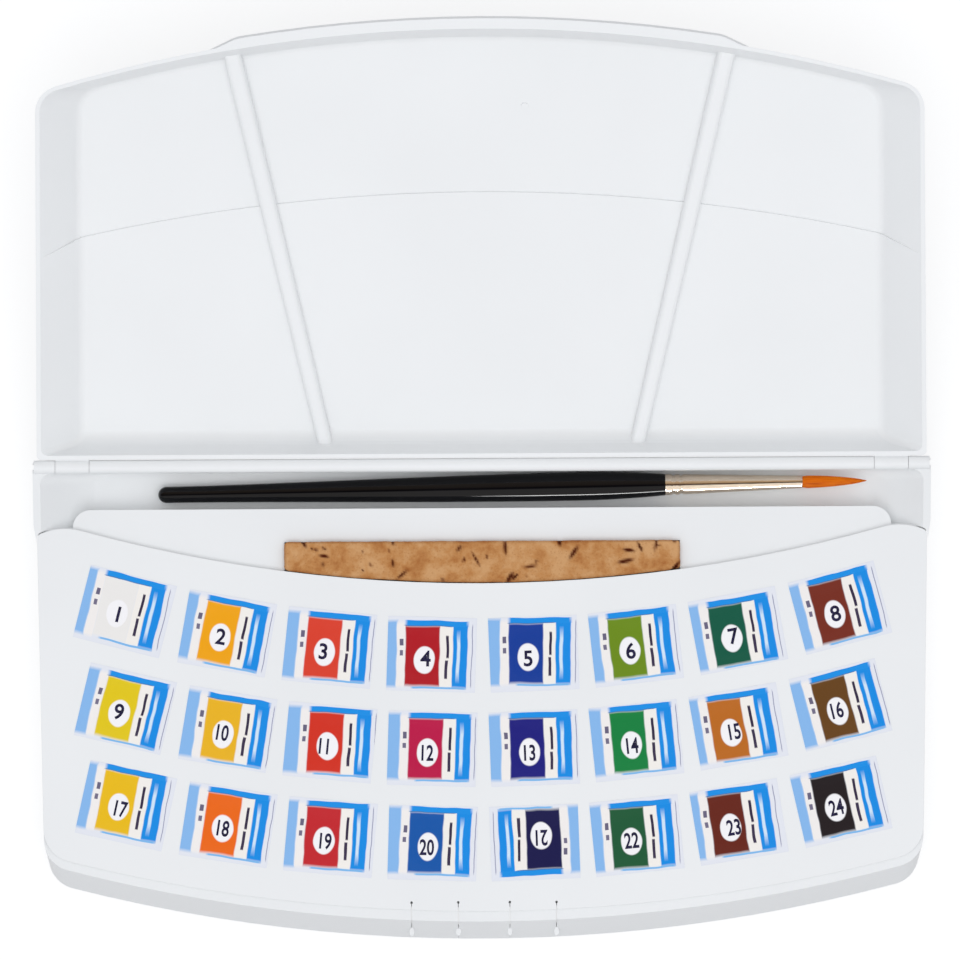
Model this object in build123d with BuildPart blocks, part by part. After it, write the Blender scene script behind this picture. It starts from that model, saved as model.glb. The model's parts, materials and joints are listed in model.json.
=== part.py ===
"""Watercolor paint box: a flat moulded box, opened, with a curved lift-out tray of 24 wrapped half pans,
a brush in its trough and a strip of sponge.

Every outline is laid out by its reach, the distance from the hinge axis towards the front of the box, so
that the closed lid and the base share one measure. X runs along the hinge, Z is up, the lid lies open
towards +Y and the origin is the middle of the flat underside.
"""
from build123d import *
from math import asin, cos, degrees, hypot, pi, radians, sin, sqrt
import os

os.makedirs("parts", exist_ok=True)

# Base shell
WALL = 1.6
RIM_HEIGHT = 17.0
BASE_HALF = 101.0
RIM_ROLL = 0.9
SIDE_DRAFT = 1.0
BASE_CORNER = 7.0
BACK_CORNER = 1.0
TAPER = 1.2
LEDGE_REACH = 102.7
LEDGE_RADIUS = 370.0
NOSE_REACH = 107.0
NOSE_HEIGHT = 4.5
NOSE_ROUND = 1.9
TOE_STEPS = 3
NOSE_RECESS_HALF = 84.0
TROUGH_FLOOR = 9.0
TROUGH_HALF = 86.3
TROUGH_FLARE = 13.0
TROUGH_CURVE = 1.6
TROUGH_STEPS = 8
TROUGH_CORNER = 2.5
TROUGH_FILLET = 1.5
SHELF_REACH = 9.7
SHELF_HALF = 92.0
SHELF_ROUND = 4.0
SEAT_WIDTH = 2.2
SEAT_EASE = 5.0
FRONT_SEAT = 4.4
CAVITY_CORNER = 2.5

# Hinge
HINGE_RADIUS = 1.5
PIN_RADIUS = 0.7
PIN_START = 80.2
PIN_END = 98.8
KNUCKLE_MIDDLE = 92.0
KNUCKLE_LENGTH = 7.6
KNUCKLE_END = 100.6
KNUCKLE_ARM = 1.2
HINGE_SIDE_GAP = 0.08
SWING_GAP = 0.2
PIN_FIT = 0.01
PIN_RUNNING = 0.05

# Lid shell
OPEN_ANGLE = 162.0
LID_HALF = 100.0
LID_SLOPE = 8.7
LID_FLARE = 1.12
LID_STEPS = 9
SIDE_FOOT = 1.2
SIDE_FOOT_START = 0.9
BACK_FOOT = 3.0
BACK_FOOT_START = 0.5
LID_FRONT = 102.6
LID_FRONT_SLOPE = 4.9
LID_FRONT_RADIUS = 330.0
LID_CORNER = 6.5
LID_DEPTH = 11.0
RIM_WALL = 1.0
WELL_CORNER = 1.6
LIP_HALF = 61.0
LIP_REACH = 1.4
LIP_SLANT = 7.0
LIP_ROUND = 8.0
LIP_ROOT = 0.15
LIP_THICKNESS = 1.8
RIB_HEIGHT = 3.0
RIB_ROUND = 1.2
RIB_BACK_X = 34.6
RIB_FRONT_X = 55.9
RIB_BACK_WIDTH = 3.3
RIB_FRONT_WIDTH = 4.0
STEP_REACH = 61.1
STEP_RADIUS = 400.0
STEP_DEPTH = 0.5
GATE_X = 10.0
GATE_REACH = 80.9
GATE_RADIUS = 0.8
GATE_HEIGHT = 0.35

# Pan tray
TRAY_THICKNESS = 1.6
TRAY_HALF = 100.0
TRAY_BACK = 26.6
TRAY_BACK_RADIUS = 337.0
TRAY_FRONT = 100.3
TRAY_FRONT_CORNER = 7.5
HORN_HALF = 90.0
HORN_REACH = 15.3
HORN_ROUND = 1.5
TRAY_GAP = 0.2
POCKET_WALL = 0.8
POCKET_DEPTH = 10.4
COLUMNS = 8
ROWS = 3
COLUMN_PITCH = 22.95
ROW_PITCH = 21.2
FIRST_ROW = 42.7
ROW_CENTRE = 279.2

# Wrapped half pans
PAN_LENGTH = 19.0
PAN_WIDTH = 15.8
PAN_HEIGHT = 10.0
PAN_WALL = 1.0
PAN_CORNER = 0.8
PAINT_LEVEL = 8.4
PAPER = 0.2
POCKET_GAP = 0.2

# Front slits, each with a small pip at its foot and a round relief hole at its end in the tray
SLIT_WIDTH = 0.14
SLIT_INNER_X = 5.8
SLIT_OUTER_X = 16.3
SLIT_LOW = 5.0
PIP_REACH = 105.1
PIP_LENGTH = 1.9
PIP_WIDTH = 1.1
PIP_HEIGHT = 10.6
DOT_REACH = 98.3
DOT_RADIUS = 0.3

# Sponge
SPONGE_HALF = 44.1
SPONGE_REACH = 17.5
SPONGE_CORNER = 1.4
SPONGE_HEIGHT = 8.0
SPONGE_GAP = 0.35

# Brush
BRUSH_END_X = -72.9
BRUSH_END_REACH = 6.4
BRUSH_TIP_X = 86.7
BRUSH_TIP_REACH = 4.0
HANDLE_LENGTH = 114.2
HANDLE_END_RADIUS = 1.85
HANDLE_NECK_RADIUS = 2.4
BELLY_RADIUS = 3.2
BELLY_AT = 95.0
SWELL_START = 0.25
SWELL_FULL = 0.65
TENON_LENGTH = 5.0
BRUSH_GAP = 0.15
FERRULE_LENGTH = 30.9
FERRULE_MOUTH_RADIUS = 1.42
FERRULE_WALL = 0.22
CRIMP_PLACES = (1.9, 3.6)
CRIMP_DEPTH = 0.3
CRIMP_WIDTH = 1.2
TUFT_LENGTH = 14.5
TUFT_BELLY_RADIUS = 1.4
TUFT_BELLY_AT = 2.6
TUFT_POINT = 0.45
TUFT_CLOSING = 0.86
TUFT_ROOT = 0.6
STRAND_RINGS = 10
STRAND_FILL = 0.42

# Clearances at rest
REST_GAP = 0.05
PAINT_GAP = 0.02

# Places worked out from the sizes above
SEAT_HEIGHT = RIM_HEIGHT - TRAY_THICKNESS
AXIS_HEIGHT = RIM_HEIGHT + SWING_GAP
TILT = 180.0 - OPEN_ANGLE
BASE_MIDDLE = (NOSE_REACH - HINGE_RADIUS) / 2
LID_BACK = HINGE_RADIUS + SWING_GAP
CAVITY_FRONT = LEDGE_REACH - FRONT_SEAT
SLIT_PLACES = (-SLIT_OUTER_X, -SLIT_INNER_X, SLIT_INNER_X, SLIT_OUTER_X)
FAR = 150.0


def reach_plane(height):
    """Level plane whose own Y is the reach from the hinge axis."""
    return Plane(origin=(0, BASE_MIDDLE, height), x_dir=(-1, 0, 0), z_dir=(0, 0, 1))


LID_PLANE = Plane(
    origin=(0, BASE_MIDDLE, AXIS_HEIGHT),
    x_dir=(1, 0, 0),
    z_dir=(0, -sin(radians(TILT)), cos(radians(TILT))),
)
HINGE_LINE = Plane(origin=(0, BASE_MIDDLE, AXIS_HEIGHT), x_dir=(0, 1, 0), z_dir=(1, 0, 0))


def sagitta(radius, half):
    """How far an arc of this radius falls back at a half width."""
    return radius - sqrt(radius**2 - half**2)


def nose_reach(height):
    """Outer front of the base at a height: a round toe, then a slope back to the ledge."""
    if height < NOSE_HEIGHT:
        return NOSE_REACH - NOSE_ROUND * (1 - height / NOSE_HEIGHT) ** 2
    rise = min(height, SEAT_HEIGHT) - NOSE_HEIGHT
    return NOSE_REACH - (NOSE_REACH - LEDGE_REACH) * rise / (SEAT_HEIGHT - NOSE_HEIGHT)


def base_half(height):
    """Outer half width of the base at a height: a drafted side, rolled outwards above the tray's seat."""
    below_roll = min(1.0, (RIM_HEIGHT - height) / TRAY_THICKNESS)
    return BASE_HALF - SIDE_DRAFT * (RIM_HEIGHT - height) / RIM_HEIGHT - RIM_ROLL * sin(below_roll * pi / 2)


def bowed_outline(plane, back, front, half, radius, front_corner, back_corner):
    """Outline with a straight back, slightly tapered sides and a bowed front."""
    shoulder = front - sagitta(radius, half - TAPER)
    with BuildSketch(plane) as outline:
        with BuildLine():
            back_edge = Line((-half, back), (half, back))
            side = Line(back_edge @ 1, (half - TAPER, shoulder))
            bow = ThreePointArc(side @ 1, (0, front), (TAPER - half, shoulder))
            Line(bow @ 1, back_edge @ 0)
        make_face()
        fillet(outline.vertices().group_by(Axis.Y)[-1], front_corner)
        fillet(outline.vertices().group_by(Axis.Y)[0], back_corner)
    return outline.sketch


def curved_band(plane, back, back_radius, front, half):
    """Region in front of a curved line, out to a straight front beyond the box."""
    drop = back - sagitta(back_radius, half)
    with BuildSketch(plane) as band:
        with BuildLine():
            bow = ThreePointArc((-half, drop), (0, back), (half, drop))
            Line(bow @ 1, (half, front))
            Line((half, front), (-half, front))
            Line((-half, front), bow @ 0)
        make_face()
    return band.sketch


def tray_back_edge(gap):
    """Back edge of the tray, bowed, its horns rounded towards the sides, drawn out by a gap."""
    root = TRAY_BACK - gap - sagitta(TRAY_BACK_RADIUS, HORN_HALF)
    with BuildLine() as edge:
        bow = ThreePointArc((-HORN_HALF, root), (0, TRAY_BACK - gap), (HORN_HALF, root))
        TangentArc(bow @ 1, (TRAY_HALF + gap, HORN_REACH - gap), tangent=bow % 1)
        TangentArc(bow @ 0, (-TRAY_HALF - gap, HORN_REACH - gap), tangent=-(bow % 0))
    return edge.line


def tray_outline(plane, gap):
    """Outline of the pan tray, bowed at its back and front, drawn out by a gap."""
    half = TRAY_HALF + gap
    front_half = half - TAPER
    front = TRAY_FRONT + gap
    front_side = front - sagitta(ROW_CENTRE + front, front_half)
    with BuildSketch(plane) as outline:
        with BuildLine():
            add(tray_back_edge(gap))
            Line((half, HORN_REACH - gap), (front_half, front_side))
            ThreePointArc((front_half, front_side), (0, front), (-front_half, front_side))
            Line((-front_half, front_side), (-half, HORN_REACH - gap))
        make_face()
        fillet(outline.vertices().group_by(Axis.Y)[-1], TRAY_FRONT_CORNER + gap)
        fillet(outline.vertices().group_by(Axis.Y)[1], HORN_ROUND + gap)
    return outline.sketch


def before_tray_edge(plane, gap):
    """Region in front of the tray's back edge, out past the box, drawn out by a gap."""
    half = TRAY_HALF + gap
    with BuildSketch(plane) as band:
        with BuildLine():
            add(tray_back_edge(gap))
            Polyline(
                (half, HORN_REACH - gap), (FAR, HORN_REACH - gap), (FAR, FAR),
                (-FAR, FAR), (-FAR, HORN_REACH - gap), (-half, HORN_REACH - gap),
            )
        make_face()
    return band.sketch


def pan_places():
    """Sideways place, reach and turn of each pan, row by row from the back."""
    places = []
    for row in range(ROWS):
        reach = FIRST_ROW + row * ROW_PITCH
        radius = ROW_CENTRE + reach
        for column in range(COLUMNS):
            x = COLUMN_PITCH * ((COLUMNS - 1) / 2 - column)
            places.append((x, reach - sagitta(radius, x), -degrees(asin(x / radius))))
    return places


# Base shell: outer form, basin with trough and shelf, tray seat, cavity below the tray
BASE_LEVELS = [NOSE_HEIGHT * step / TOE_STEPS for step in range(TOE_STEPS)]
BASE_LEVELS += [NOSE_HEIGHT, SEAT_HEIGHT, (SEAT_HEIGHT + RIM_HEIGHT) / 2, RIM_HEIGHT]


def basin_form(growth):
    """Basin of trough and shelf, its ends eased into floor and rim, drawn out by a wall."""
    levels = []
    for step in range(TROUGH_STEPS + 1):
        part = step / TROUGH_STEPS
        rise = (RIM_HEIGHT - TROUGH_FLOOR) * part**TROUGH_CURVE
        levels.append((TROUGH_FLOOR + rise - growth, TROUGH_HALF + TROUGH_FLARE * part + growth))
    levels.append((RIM_HEIGHT + WALL, TROUGH_HALF + TROUGH_FLARE + growth))
    outlines = [
        bowed_outline(
            reach_plane(height), HINGE_RADIUS - growth, LEDGE_REACH, half,
            LEDGE_RADIUS, BASE_CORNER, TROUGH_CORNER,
        )
        for height, half in levels
    ]
    with BuildPart() as form:
        loft(outlines, ruled=True)
    return form.part


with BuildPart() as basin:
    add(basin_form(0))
    extrude(before_tray_edge(reach_plane(0), TRAY_GAP), amount=2 * RIM_HEIGHT, mode=Mode.SUBTRACT)

with BuildPart() as cavity:
    cavity_levels = []
    for height in (WALL, SEAT_HEIGHT, RIM_HEIGHT + WALL):
        half = base_half(min(height, SEAT_HEIGHT)) - WALL
        cavity_levels.append(
            bowed_outline(reach_plane(height), 0, CAVITY_FRONT, half, LEDGE_RADIUS, CAVITY_CORNER, WALL)
        )
    loft(cavity_levels, ruled=True)
    extrude(before_tray_edge(reach_plane(0), -SEAT_WIDTH), amount=2 * RIM_HEIGHT, mode=Mode.INTERSECT)

with BuildPart() as nose_recess:
    recess_levels = []
    for height in (-WALL, NOSE_HEIGHT, SEAT_HEIGHT - WALL):
        skin = nose_reach(max(height, 0)) - WALL
        recess_levels.append(
            bowed_outline(reach_plane(height), 0, skin, NOSE_RECESS_HALF, LEDGE_RADIUS, WALL, WALL)
        )
    loft(recess_levels, ruled=True)
    front_wall = bowed_outline(
        reach_plane(-2 * WALL), -WALL, CAVITY_FRONT + WALL, BASE_HALF, LEDGE_RADIUS, BASE_CORNER, WALL
    )
    extrude(front_wall, amount=2 * RIM_HEIGHT, mode=Mode.SUBTRACT)

with BuildPart() as back_recess:
    back_levels = []
    for height in (-WALL, SEAT_HEIGHT - WALL):
        back_levels.append(
            bowed_outline(
                reach_plane(height), WALL - HINGE_RADIUS, LEDGE_REACH, base_half(max(height, 0)) - WALL,
                LEDGE_RADIUS, BASE_CORNER, WALL,
            )
        )
    loft(back_levels, ruled=True)
    add(basin_form(WALL), mode=Mode.SUBTRACT)

with BuildPart() as shelf_recess:
    with BuildSketch(reach_plane(-WALL)):
        with Locations((0, SHELF_REACH + WALL)):
            Rectangle(2 * (SHELF_HALF - SHELF_ROUND - WALL), FAR, align=(Align.CENTER, Align.MIN))
        with Locations((0, SPONGE_REACH - SPONGE_GAP - WALL)):
            pocket_width = 2 * (SPONGE_HALF + SPONGE_GAP + WALL)
            Rectangle(pocket_width, FAR, align=(Align.CENTER, Align.MIN), mode=Mode.SUBTRACT)
    extrude(amount=SEAT_HEIGHT)

with BuildPart() as before_recess:
    extrude(before_tray_edge(reach_plane(-2 * WALL), WALL - SEAT_WIDTH), amount=2 * RIM_HEIGHT)

with BuildPart() as base_shell:
    outer_levels = []
    for height in BASE_LEVELS:
        outer_levels.append(
            bowed_outline(
                reach_plane(height), -HINGE_RADIUS, nose_reach(height), base_half(height),
                LEDGE_RADIUS, BASE_CORNER, BACK_CORNER,
            )
        )
    loft(outer_levels, ruled=True)
    add(basin.part, mode=Mode.SUBTRACT)
    with BuildSketch(reach_plane(TROUGH_FLOOR - WALL / 2)) as shelf_top:
        with Locations((0, SHELF_REACH)):
            Rectangle(2 * SHELF_HALF, TRAY_BACK, align=(Align.CENTER, Align.MIN))
        fillet(shelf_top.vertices().group_by(Axis.Y)[0], SHELF_ROUND)
        add(curved_band(Plane.XY, TRAY_BACK, TRAY_BACK_RADIUS, FAR, FAR), mode=Mode.SUBTRACT)
    extrude(amount=SEAT_HEIGHT - TROUGH_FLOOR + WALL / 2)
    with BuildSketch(HINGE_LINE.offset(-TROUGH_HALF - TROUGH_FLARE)):
        foot = (-HINGE_RADIUS - TROUGH_FILLET, TROUGH_FLOOR + TROUGH_FILLET - AXIS_HEIGHT)
        with Locations(foot):
            Rectangle(
                TROUGH_FILLET + WALL / 2, TROUGH_FILLET + WALL / 2, align=(Align.MIN, Align.MAX)
            )
            Circle(TROUGH_FILLET, mode=Mode.SUBTRACT)
    extrude(amount=2 * (TROUGH_HALF + TROUGH_FLARE))
    extrude(tray_outline(reach_plane(SEAT_HEIGHT), TRAY_GAP), amount=RIM_HEIGHT, mode=Mode.SUBTRACT)
    with BuildSketch(reach_plane(SEAT_HEIGHT)):
        seat_half = TRAY_HALF + TRAY_GAP
        seat_corner = HORN_REACH + HORN_ROUND
        with BuildLine():
            Polyline(
                (-FAR, FAR), (-FAR, seat_corner - SEAT_EASE), (-BASE_HALF, seat_corner - SEAT_EASE),
                (-seat_half, seat_corner), (seat_half, seat_corner), (BASE_HALF, seat_corner - SEAT_EASE),
                (FAR, seat_corner - SEAT_EASE), (FAR, FAR),
                close=True,
            )
        make_face()
    extrude(amount=RIM_HEIGHT, mode=Mode.SUBTRACT)
    add(cavity.part, mode=Mode.SUBTRACT)
    add(nose_recess.part, mode=Mode.SUBTRACT)
    add(back_recess.part - before_recess.part, mode=Mode.SUBTRACT)
    add(shelf_recess.part - before_recess.part, mode=Mode.SUBTRACT)
    with BuildSketch(reach_plane(TROUGH_FLOOR)):
        with Locations((0, SPONGE_REACH - SPONGE_GAP)):
            Rectangle(2 * (SPONGE_HALF + SPONGE_GAP), TRAY_BACK, align=(Align.CENTER, Align.MIN))
        add(curved_band(Plane.XY, TRAY_BACK, TRAY_BACK_RADIUS, FAR, FAR), mode=Mode.SUBTRACT)
    extrude(amount=RIM_HEIGHT, mode=Mode.SUBTRACT)
    with BuildSketch(HINGE_LINE.offset(-KNUCKLE_END)):
        Circle(HINGE_RADIUS)
    extrude(amount=2 * KNUCKLE_END)
    with BuildSketch(reach_plane(AXIS_HEIGHT - LID_BACK)):
        with Locations((-KNUCKLE_MIDDLE, 0), (KNUCKLE_MIDDLE, 0)):
            Rectangle(KNUCKLE_LENGTH + 2 * HINGE_SIDE_GAP, 2 * LID_BACK)
    extrude(amount=RIM_HEIGHT, mode=Mode.SUBTRACT)
    for side in (-1, 1):
        with BuildSketch(HINGE_LINE.offset(side * PIN_START)):
            Circle(PIN_RADIUS + PIN_FIT)
        extrude(amount=side * (BASE_HALF - PIN_START), mode=Mode.SUBTRACT)
    with BuildSketch(reach_plane(SLIT_LOW)):
        with Locations(*[(x, CAVITY_FRONT - WALL) for x in SLIT_PLACES]):
            Rectangle(SLIT_WIDTH, FRONT_SEAT + FAR, align=(Align.CENTER, Align.MIN))
    extrude(amount=RIM_HEIGHT, mode=Mode.SUBTRACT)
    with BuildSketch(reach_plane(SLIT_LOW)):
        with Locations(*[(x, PIP_REACH) for x in SLIT_PLACES]):
            Ellipse(PIP_WIDTH / 2, PIP_LENGTH / 2)
    extrude(amount=PIP_HEIGHT - SLIT_LOW)

base_shell.part.label = "base_shell"
export_step(base_shell.part, "parts/base_shell.step")


# Hinge pins, one through each lid knuckle
def hinge_pin(side):
    """Straight pin from inside the middle barrel out to the end knuckle."""
    with BuildPart() as pin:
        with BuildSketch(HINGE_LINE.offset(side * PIN_START)):
            Circle(PIN_RADIUS)
        extrude(amount=side * (PIN_END - PIN_START))
    return pin


for side, side_name in ((-1, "left"), (1, "right")):
    pin = hinge_pin(side)
    pin.part.label = f"hinge_pin_{side_name}"
    export_step(pin.part, f"parts/hinge_pin_{side_name}.step")


# Lid shell: a shallow flared form, hollowed, with two slanted ribs, a shallow step and a thumb lip
LID_INNER_DEPTH = LID_DEPTH - WALL


def foot(share, start):
    """Share of a rounded foot that a wall has drawn in at a share of its depth."""
    below = max(0.0, (share - start) / (1 - start))
    return 1 - sqrt(1 - below**2)


def lid_levels(whole_depth, wall, step, back_corner):
    """Outlines of the lid from its rim down to a depth, drawn in by a wall that a step thins."""
    outlines = []
    for level in range(LID_STEPS + 1):
        share = 1 - (1 - level / LID_STEPS) ** 2
        slope = 1 - (1 - share) ** LID_FLARE
        inset = wall - step * slope
        side_inset = inset + SIDE_FOOT * foot(share, SIDE_FOOT_START)
        outlines.append(
            bowed_outline(
                LID_PLANE.offset(-whole_depth * share),
                LID_BACK + inset + BACK_FOOT * foot(share, BACK_FOOT_START),
                LID_FRONT - side_inset - LID_FRONT_SLOPE * slope,
                LID_HALF - side_inset - LID_SLOPE * slope,
                LID_FRONT_RADIUS, LID_CORNER - side_inset, back_corner,
            )
        )
    return outlines


with BuildPart() as lid_form:
    loft(lid_levels(LID_DEPTH, 0, 0, BACK_CORNER), ruled=True)

with BuildPart() as lid_hollow:
    loft(lid_levels(LID_INNER_DEPTH, RIM_WALL, 0, WELL_CORNER), ruled=True)

with BuildPart() as lid_front_hollow:
    stepped_depth = LID_INNER_DEPTH + STEP_DEPTH
    loft(lid_levels(stepped_depth, RIM_WALL, STEP_DEPTH, WELL_CORNER), ruled=True)
    beyond_step = curved_band(LID_PLANE.offset(-LID_DEPTH), STEP_REACH, STEP_RADIUS, FAR, FAR)
    extrude(beyond_step, amount=LID_DEPTH, mode=Mode.INTERSECT)

with BuildPart() as lid_ribs:
    rib_run = LID_FRONT - LID_FRONT_SLOPE
    for side in (-1, 1):
        with BuildSketch(LID_PLANE.offset(-LID_DEPTH)):
            with BuildLine():
                Polyline(
                    (side * (RIB_BACK_X - RIB_BACK_WIDTH / 2), 0),
                    (side * (RIB_BACK_X + RIB_BACK_WIDTH / 2), 0),
                    (side * (RIB_FRONT_X + RIB_FRONT_WIDTH / 2), rib_run),
                    (side * (RIB_FRONT_X - RIB_FRONT_WIDTH / 2), rib_run),
                    close=True,
                )
            make_face()
        extrude(amount=WALL + RIB_HEIGHT)
    fillet(lid_ribs.edges().group_by(Axis(LID_PLANE.origin, LID_PLANE.z_dir))[-1], RIB_ROUND)
    add(lid_form.part, mode=Mode.INTERSECT)

with BuildPart() as lid_shell:
    add(lid_form.part)
    add(lid_hollow.part, mode=Mode.SUBTRACT)
    add(lid_front_hollow.part, mode=Mode.SUBTRACT)
    add(lid_ribs.part)
    with BuildSketch(LID_PLANE) as lip:
        lip_end = LIP_HALF - LIP_SLANT
        lip_front = LID_FRONT + LIP_REACH
        lip_side = lip_front - sagitta(LID_FRONT_RADIUS, lip_end)
        lip_root = LID_FRONT - RIM_WALL + LIP_ROOT
        root_side = lip_root - sagitta(LID_FRONT_RADIUS, LIP_HALF)
        with BuildLine():
            outer_arc = ThreePointArc((-lip_end, lip_side), (0, lip_front), (lip_end, lip_side))
            Line(outer_arc @ 1, (LIP_HALF, root_side))
            inner_arc = ThreePointArc((LIP_HALF, root_side), (0, lip_root), (-LIP_HALF, root_side))
            Line(inner_arc @ 1, outer_arc @ 0)
        make_face()
        fillet(lip.vertices().group_by(Axis.Y)[-1], LIP_ROUND)
    extrude(amount=-LIP_THICKNESS)
    with BuildSketch(LID_PLANE.offset(-stepped_depth - WALL / 4)):
        with Locations((GATE_X, GATE_REACH)):
            Circle(GATE_RADIUS)
    extrude(amount=GATE_HEIGHT + WALL / 4)
    for side in (-1, 1):
        with BuildSketch(LID_PLANE):
            with Locations((side * KNUCKLE_MIDDLE, 0)):
                Rectangle(KNUCKLE_LENGTH, LID_BACK + RIM_WALL / 2, align=(Align.CENTER, Align.MIN))
        extrude(amount=-KNUCKLE_ARM)
        with BuildSketch(HINGE_LINE.offset(side * KNUCKLE_MIDDLE - KNUCKLE_LENGTH / 2)):
            Circle(HINGE_RADIUS)
        extrude(amount=KNUCKLE_LENGTH)
        with BuildSketch(HINGE_LINE.offset(side * KNUCKLE_MIDDLE - KNUCKLE_LENGTH / 2)):
            Circle(PIN_RADIUS + PIN_RUNNING)
        extrude(amount=KNUCKLE_LENGTH, mode=Mode.SUBTRACT)

lid_shell.part.label = "lid_shell"
export_step(lid_shell.part, "parts/lid_shell.step")

# Pan tray: a thin curved plate with a pocket for each pan
WELL_LENGTH = PAN_LENGTH + 2 * (PAPER + POCKET_GAP)
WELL_WIDTH = PAN_WIDTH + 2 * (PAPER + POCKET_GAP)


def pockets(height, margin):
    """Sketch of all 24 wells at a height, each drawn out by a margin."""
    with BuildSketch(reach_plane(height)) as wells:
        for x, reach, turn in pan_places():
            with Locations(Location((x, reach, 0), (0, 0, turn))):
                RectangleRounded(WELL_LENGTH + 2 * margin, WELL_WIDTH + 2 * margin, PAN_CORNER + margin)
    return wells.sketch


with BuildPart() as pan_tray:
    extrude(tray_outline(reach_plane(SEAT_HEIGHT + REST_GAP), 0), amount=TRAY_THICKNESS)
    extrude(pockets(RIM_HEIGHT, POCKET_WALL), amount=-POCKET_DEPTH - POCKET_WALL)
    extrude(pockets(RIM_HEIGHT + WALL, 0), amount=-POCKET_DEPTH - WALL, mode=Mode.SUBTRACT)
    with BuildSketch(reach_plane(0)):
        with Locations(*[(x, DOT_REACH) for x in SLIT_PLACES]):
            Circle(DOT_RADIUS)
            Rectangle(SLIT_WIDTH, WALL + TRAY_FRONT - DOT_REACH, align=(Align.CENTER, Align.MIN))
    extrude(amount=2 * RIM_HEIGHT, mode=Mode.SUBTRACT)

pan_tray.part.label = "pan_tray"
export_step(pan_tray.part, "parts/pan_tray.step")

# Half pans with their paint, and the paper sleeve folded round each
PAN_BASE = RIM_HEIGHT - POCKET_DEPTH + REST_GAP


def pan_plane(place, height):
    """Level plane in the middle of a pan, turned with it."""
    x, reach, turn = place
    return Plane(
        origin=(-x, BASE_MIDDLE - reach, height),
        x_dir=(cos(radians(turn)), sin(radians(turn)), 0),
        z_dir=(0, 0, 1),
    )


def half_pan(place):
    """Open cup with a block of paint that stands free of its walls by a hair."""
    with BuildPart() as pan:
        with BuildSketch(pan_plane(place, PAN_BASE + PAPER)):
            RectangleRounded(PAN_LENGTH, PAN_WIDTH, PAN_CORNER)
        extrude(amount=PAN_HEIGHT)
        with BuildSketch(pan_plane(place, PAN_BASE + PAPER + PAN_WALL)):
            Rectangle(PAN_LENGTH - 2 * PAN_WALL, PAN_WIDTH - 2 * PAN_WALL)
        extrude(amount=PAN_HEIGHT, mode=Mode.SUBTRACT)
        with BuildSketch(pan_plane(place, PAN_BASE + PAPER + PAN_WALL + PAINT_GAP)):
            Rectangle(PAN_LENGTH - 2 * (PAN_WALL + PAINT_GAP), PAN_WIDTH - 2 * (PAN_WALL + PAINT_GAP))
        extrude(amount=PAINT_LEVEL - PAN_WALL)
    return pan


def paper_sleeve(place):
    """Paper wound once round the pan's length, open at its two long sides."""
    with BuildPart() as sleeve:
        with BuildSketch(pan_plane(place, PAN_BASE)):
            Rectangle(PAN_LENGTH + 2 * PAPER, PAN_WIDTH)
        extrude(amount=PAN_HEIGHT + 2 * PAPER)
        with BuildSketch(pan_plane(place, PAN_BASE + PAPER)):
            Rectangle(PAN_LENGTH, PAN_WIDTH + 2 * PAPER)
        extrude(amount=PAN_HEIGHT, mode=Mode.SUBTRACT)
    return sleeve


for number, place in enumerate(pan_places(), start=1):
    pan = half_pan(place)
    pan.part.label = f"pan_{number:02d}"
    export_step(pan.part, f"parts/pan_{number:02d}.step")
    sleeve = paper_sleeve(place)
    sleeve.part.label = f"wrapper_{number:02d}"
    export_step(sleeve.part, f"parts/wrapper_{number:02d}.step")

# Sponge, its front cut to the tray's curve
with BuildPart() as sponge:
    with BuildSketch(reach_plane(TROUGH_FLOOR + REST_GAP)) as sponge_top:
        with Locations((0, SPONGE_REACH)):
            Rectangle(2 * SPONGE_HALF, TRAY_BACK, align=(Align.CENTER, Align.MIN))
        add(curved_band(Plane.XY, TRAY_BACK - SPONGE_GAP, TRAY_BACK_RADIUS, FAR, FAR), mode=Mode.SUBTRACT)
        fillet(sponge_top.vertices(), SPONGE_CORNER)
    extrude(amount=SPONGE_HEIGHT)
    fillet(sponge.edges().group_by(Axis.Z)[-1], SPONGE_CORNER / 2)

sponge.part.label = "sponge"
export_step(sponge.part, "parts/sponge.step")

# Brush, leaning a little because its belly is thicker than its end
BRUSH_RISE = BELLY_RADIUS - HANDLE_END_RADIUS
BRUSH_END = Vector(BRUSH_END_X, BASE_MIDDLE - BRUSH_END_REACH, TROUGH_FLOOR + HANDLE_END_RADIUS + BRUSH_GAP)
BRUSH_AXIS = Vector(
    BRUSH_TIP_X - BRUSH_END_X,
    BRUSH_END_REACH - BRUSH_TIP_REACH,
    (BRUSH_TIP_X - BRUSH_END_X) * BRUSH_RISE / BELLY_AT,
).normalized()
BRUSH_SIDE = Plane(origin=BRUSH_END, x_dir=BRUSH_AXIS, z_dir=BRUSH_AXIS.cross(Vector(0, 0, 1)))
FERRULE_END = HANDLE_LENGTH + FERRULE_LENGTH
TUFT_FILL = FERRULE_MOUTH_RADIUS - FERRULE_WALL - PAINT_GAP


def ferrule_radius(along):
    """Outer radius of the tapered ferrule at a distance from the handle's shoulder."""
    return HANDLE_NECK_RADIUS - (HANDLE_NECK_RADIUS - FERRULE_MOUTH_RADIUS) * along / FERRULE_LENGTH


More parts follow.
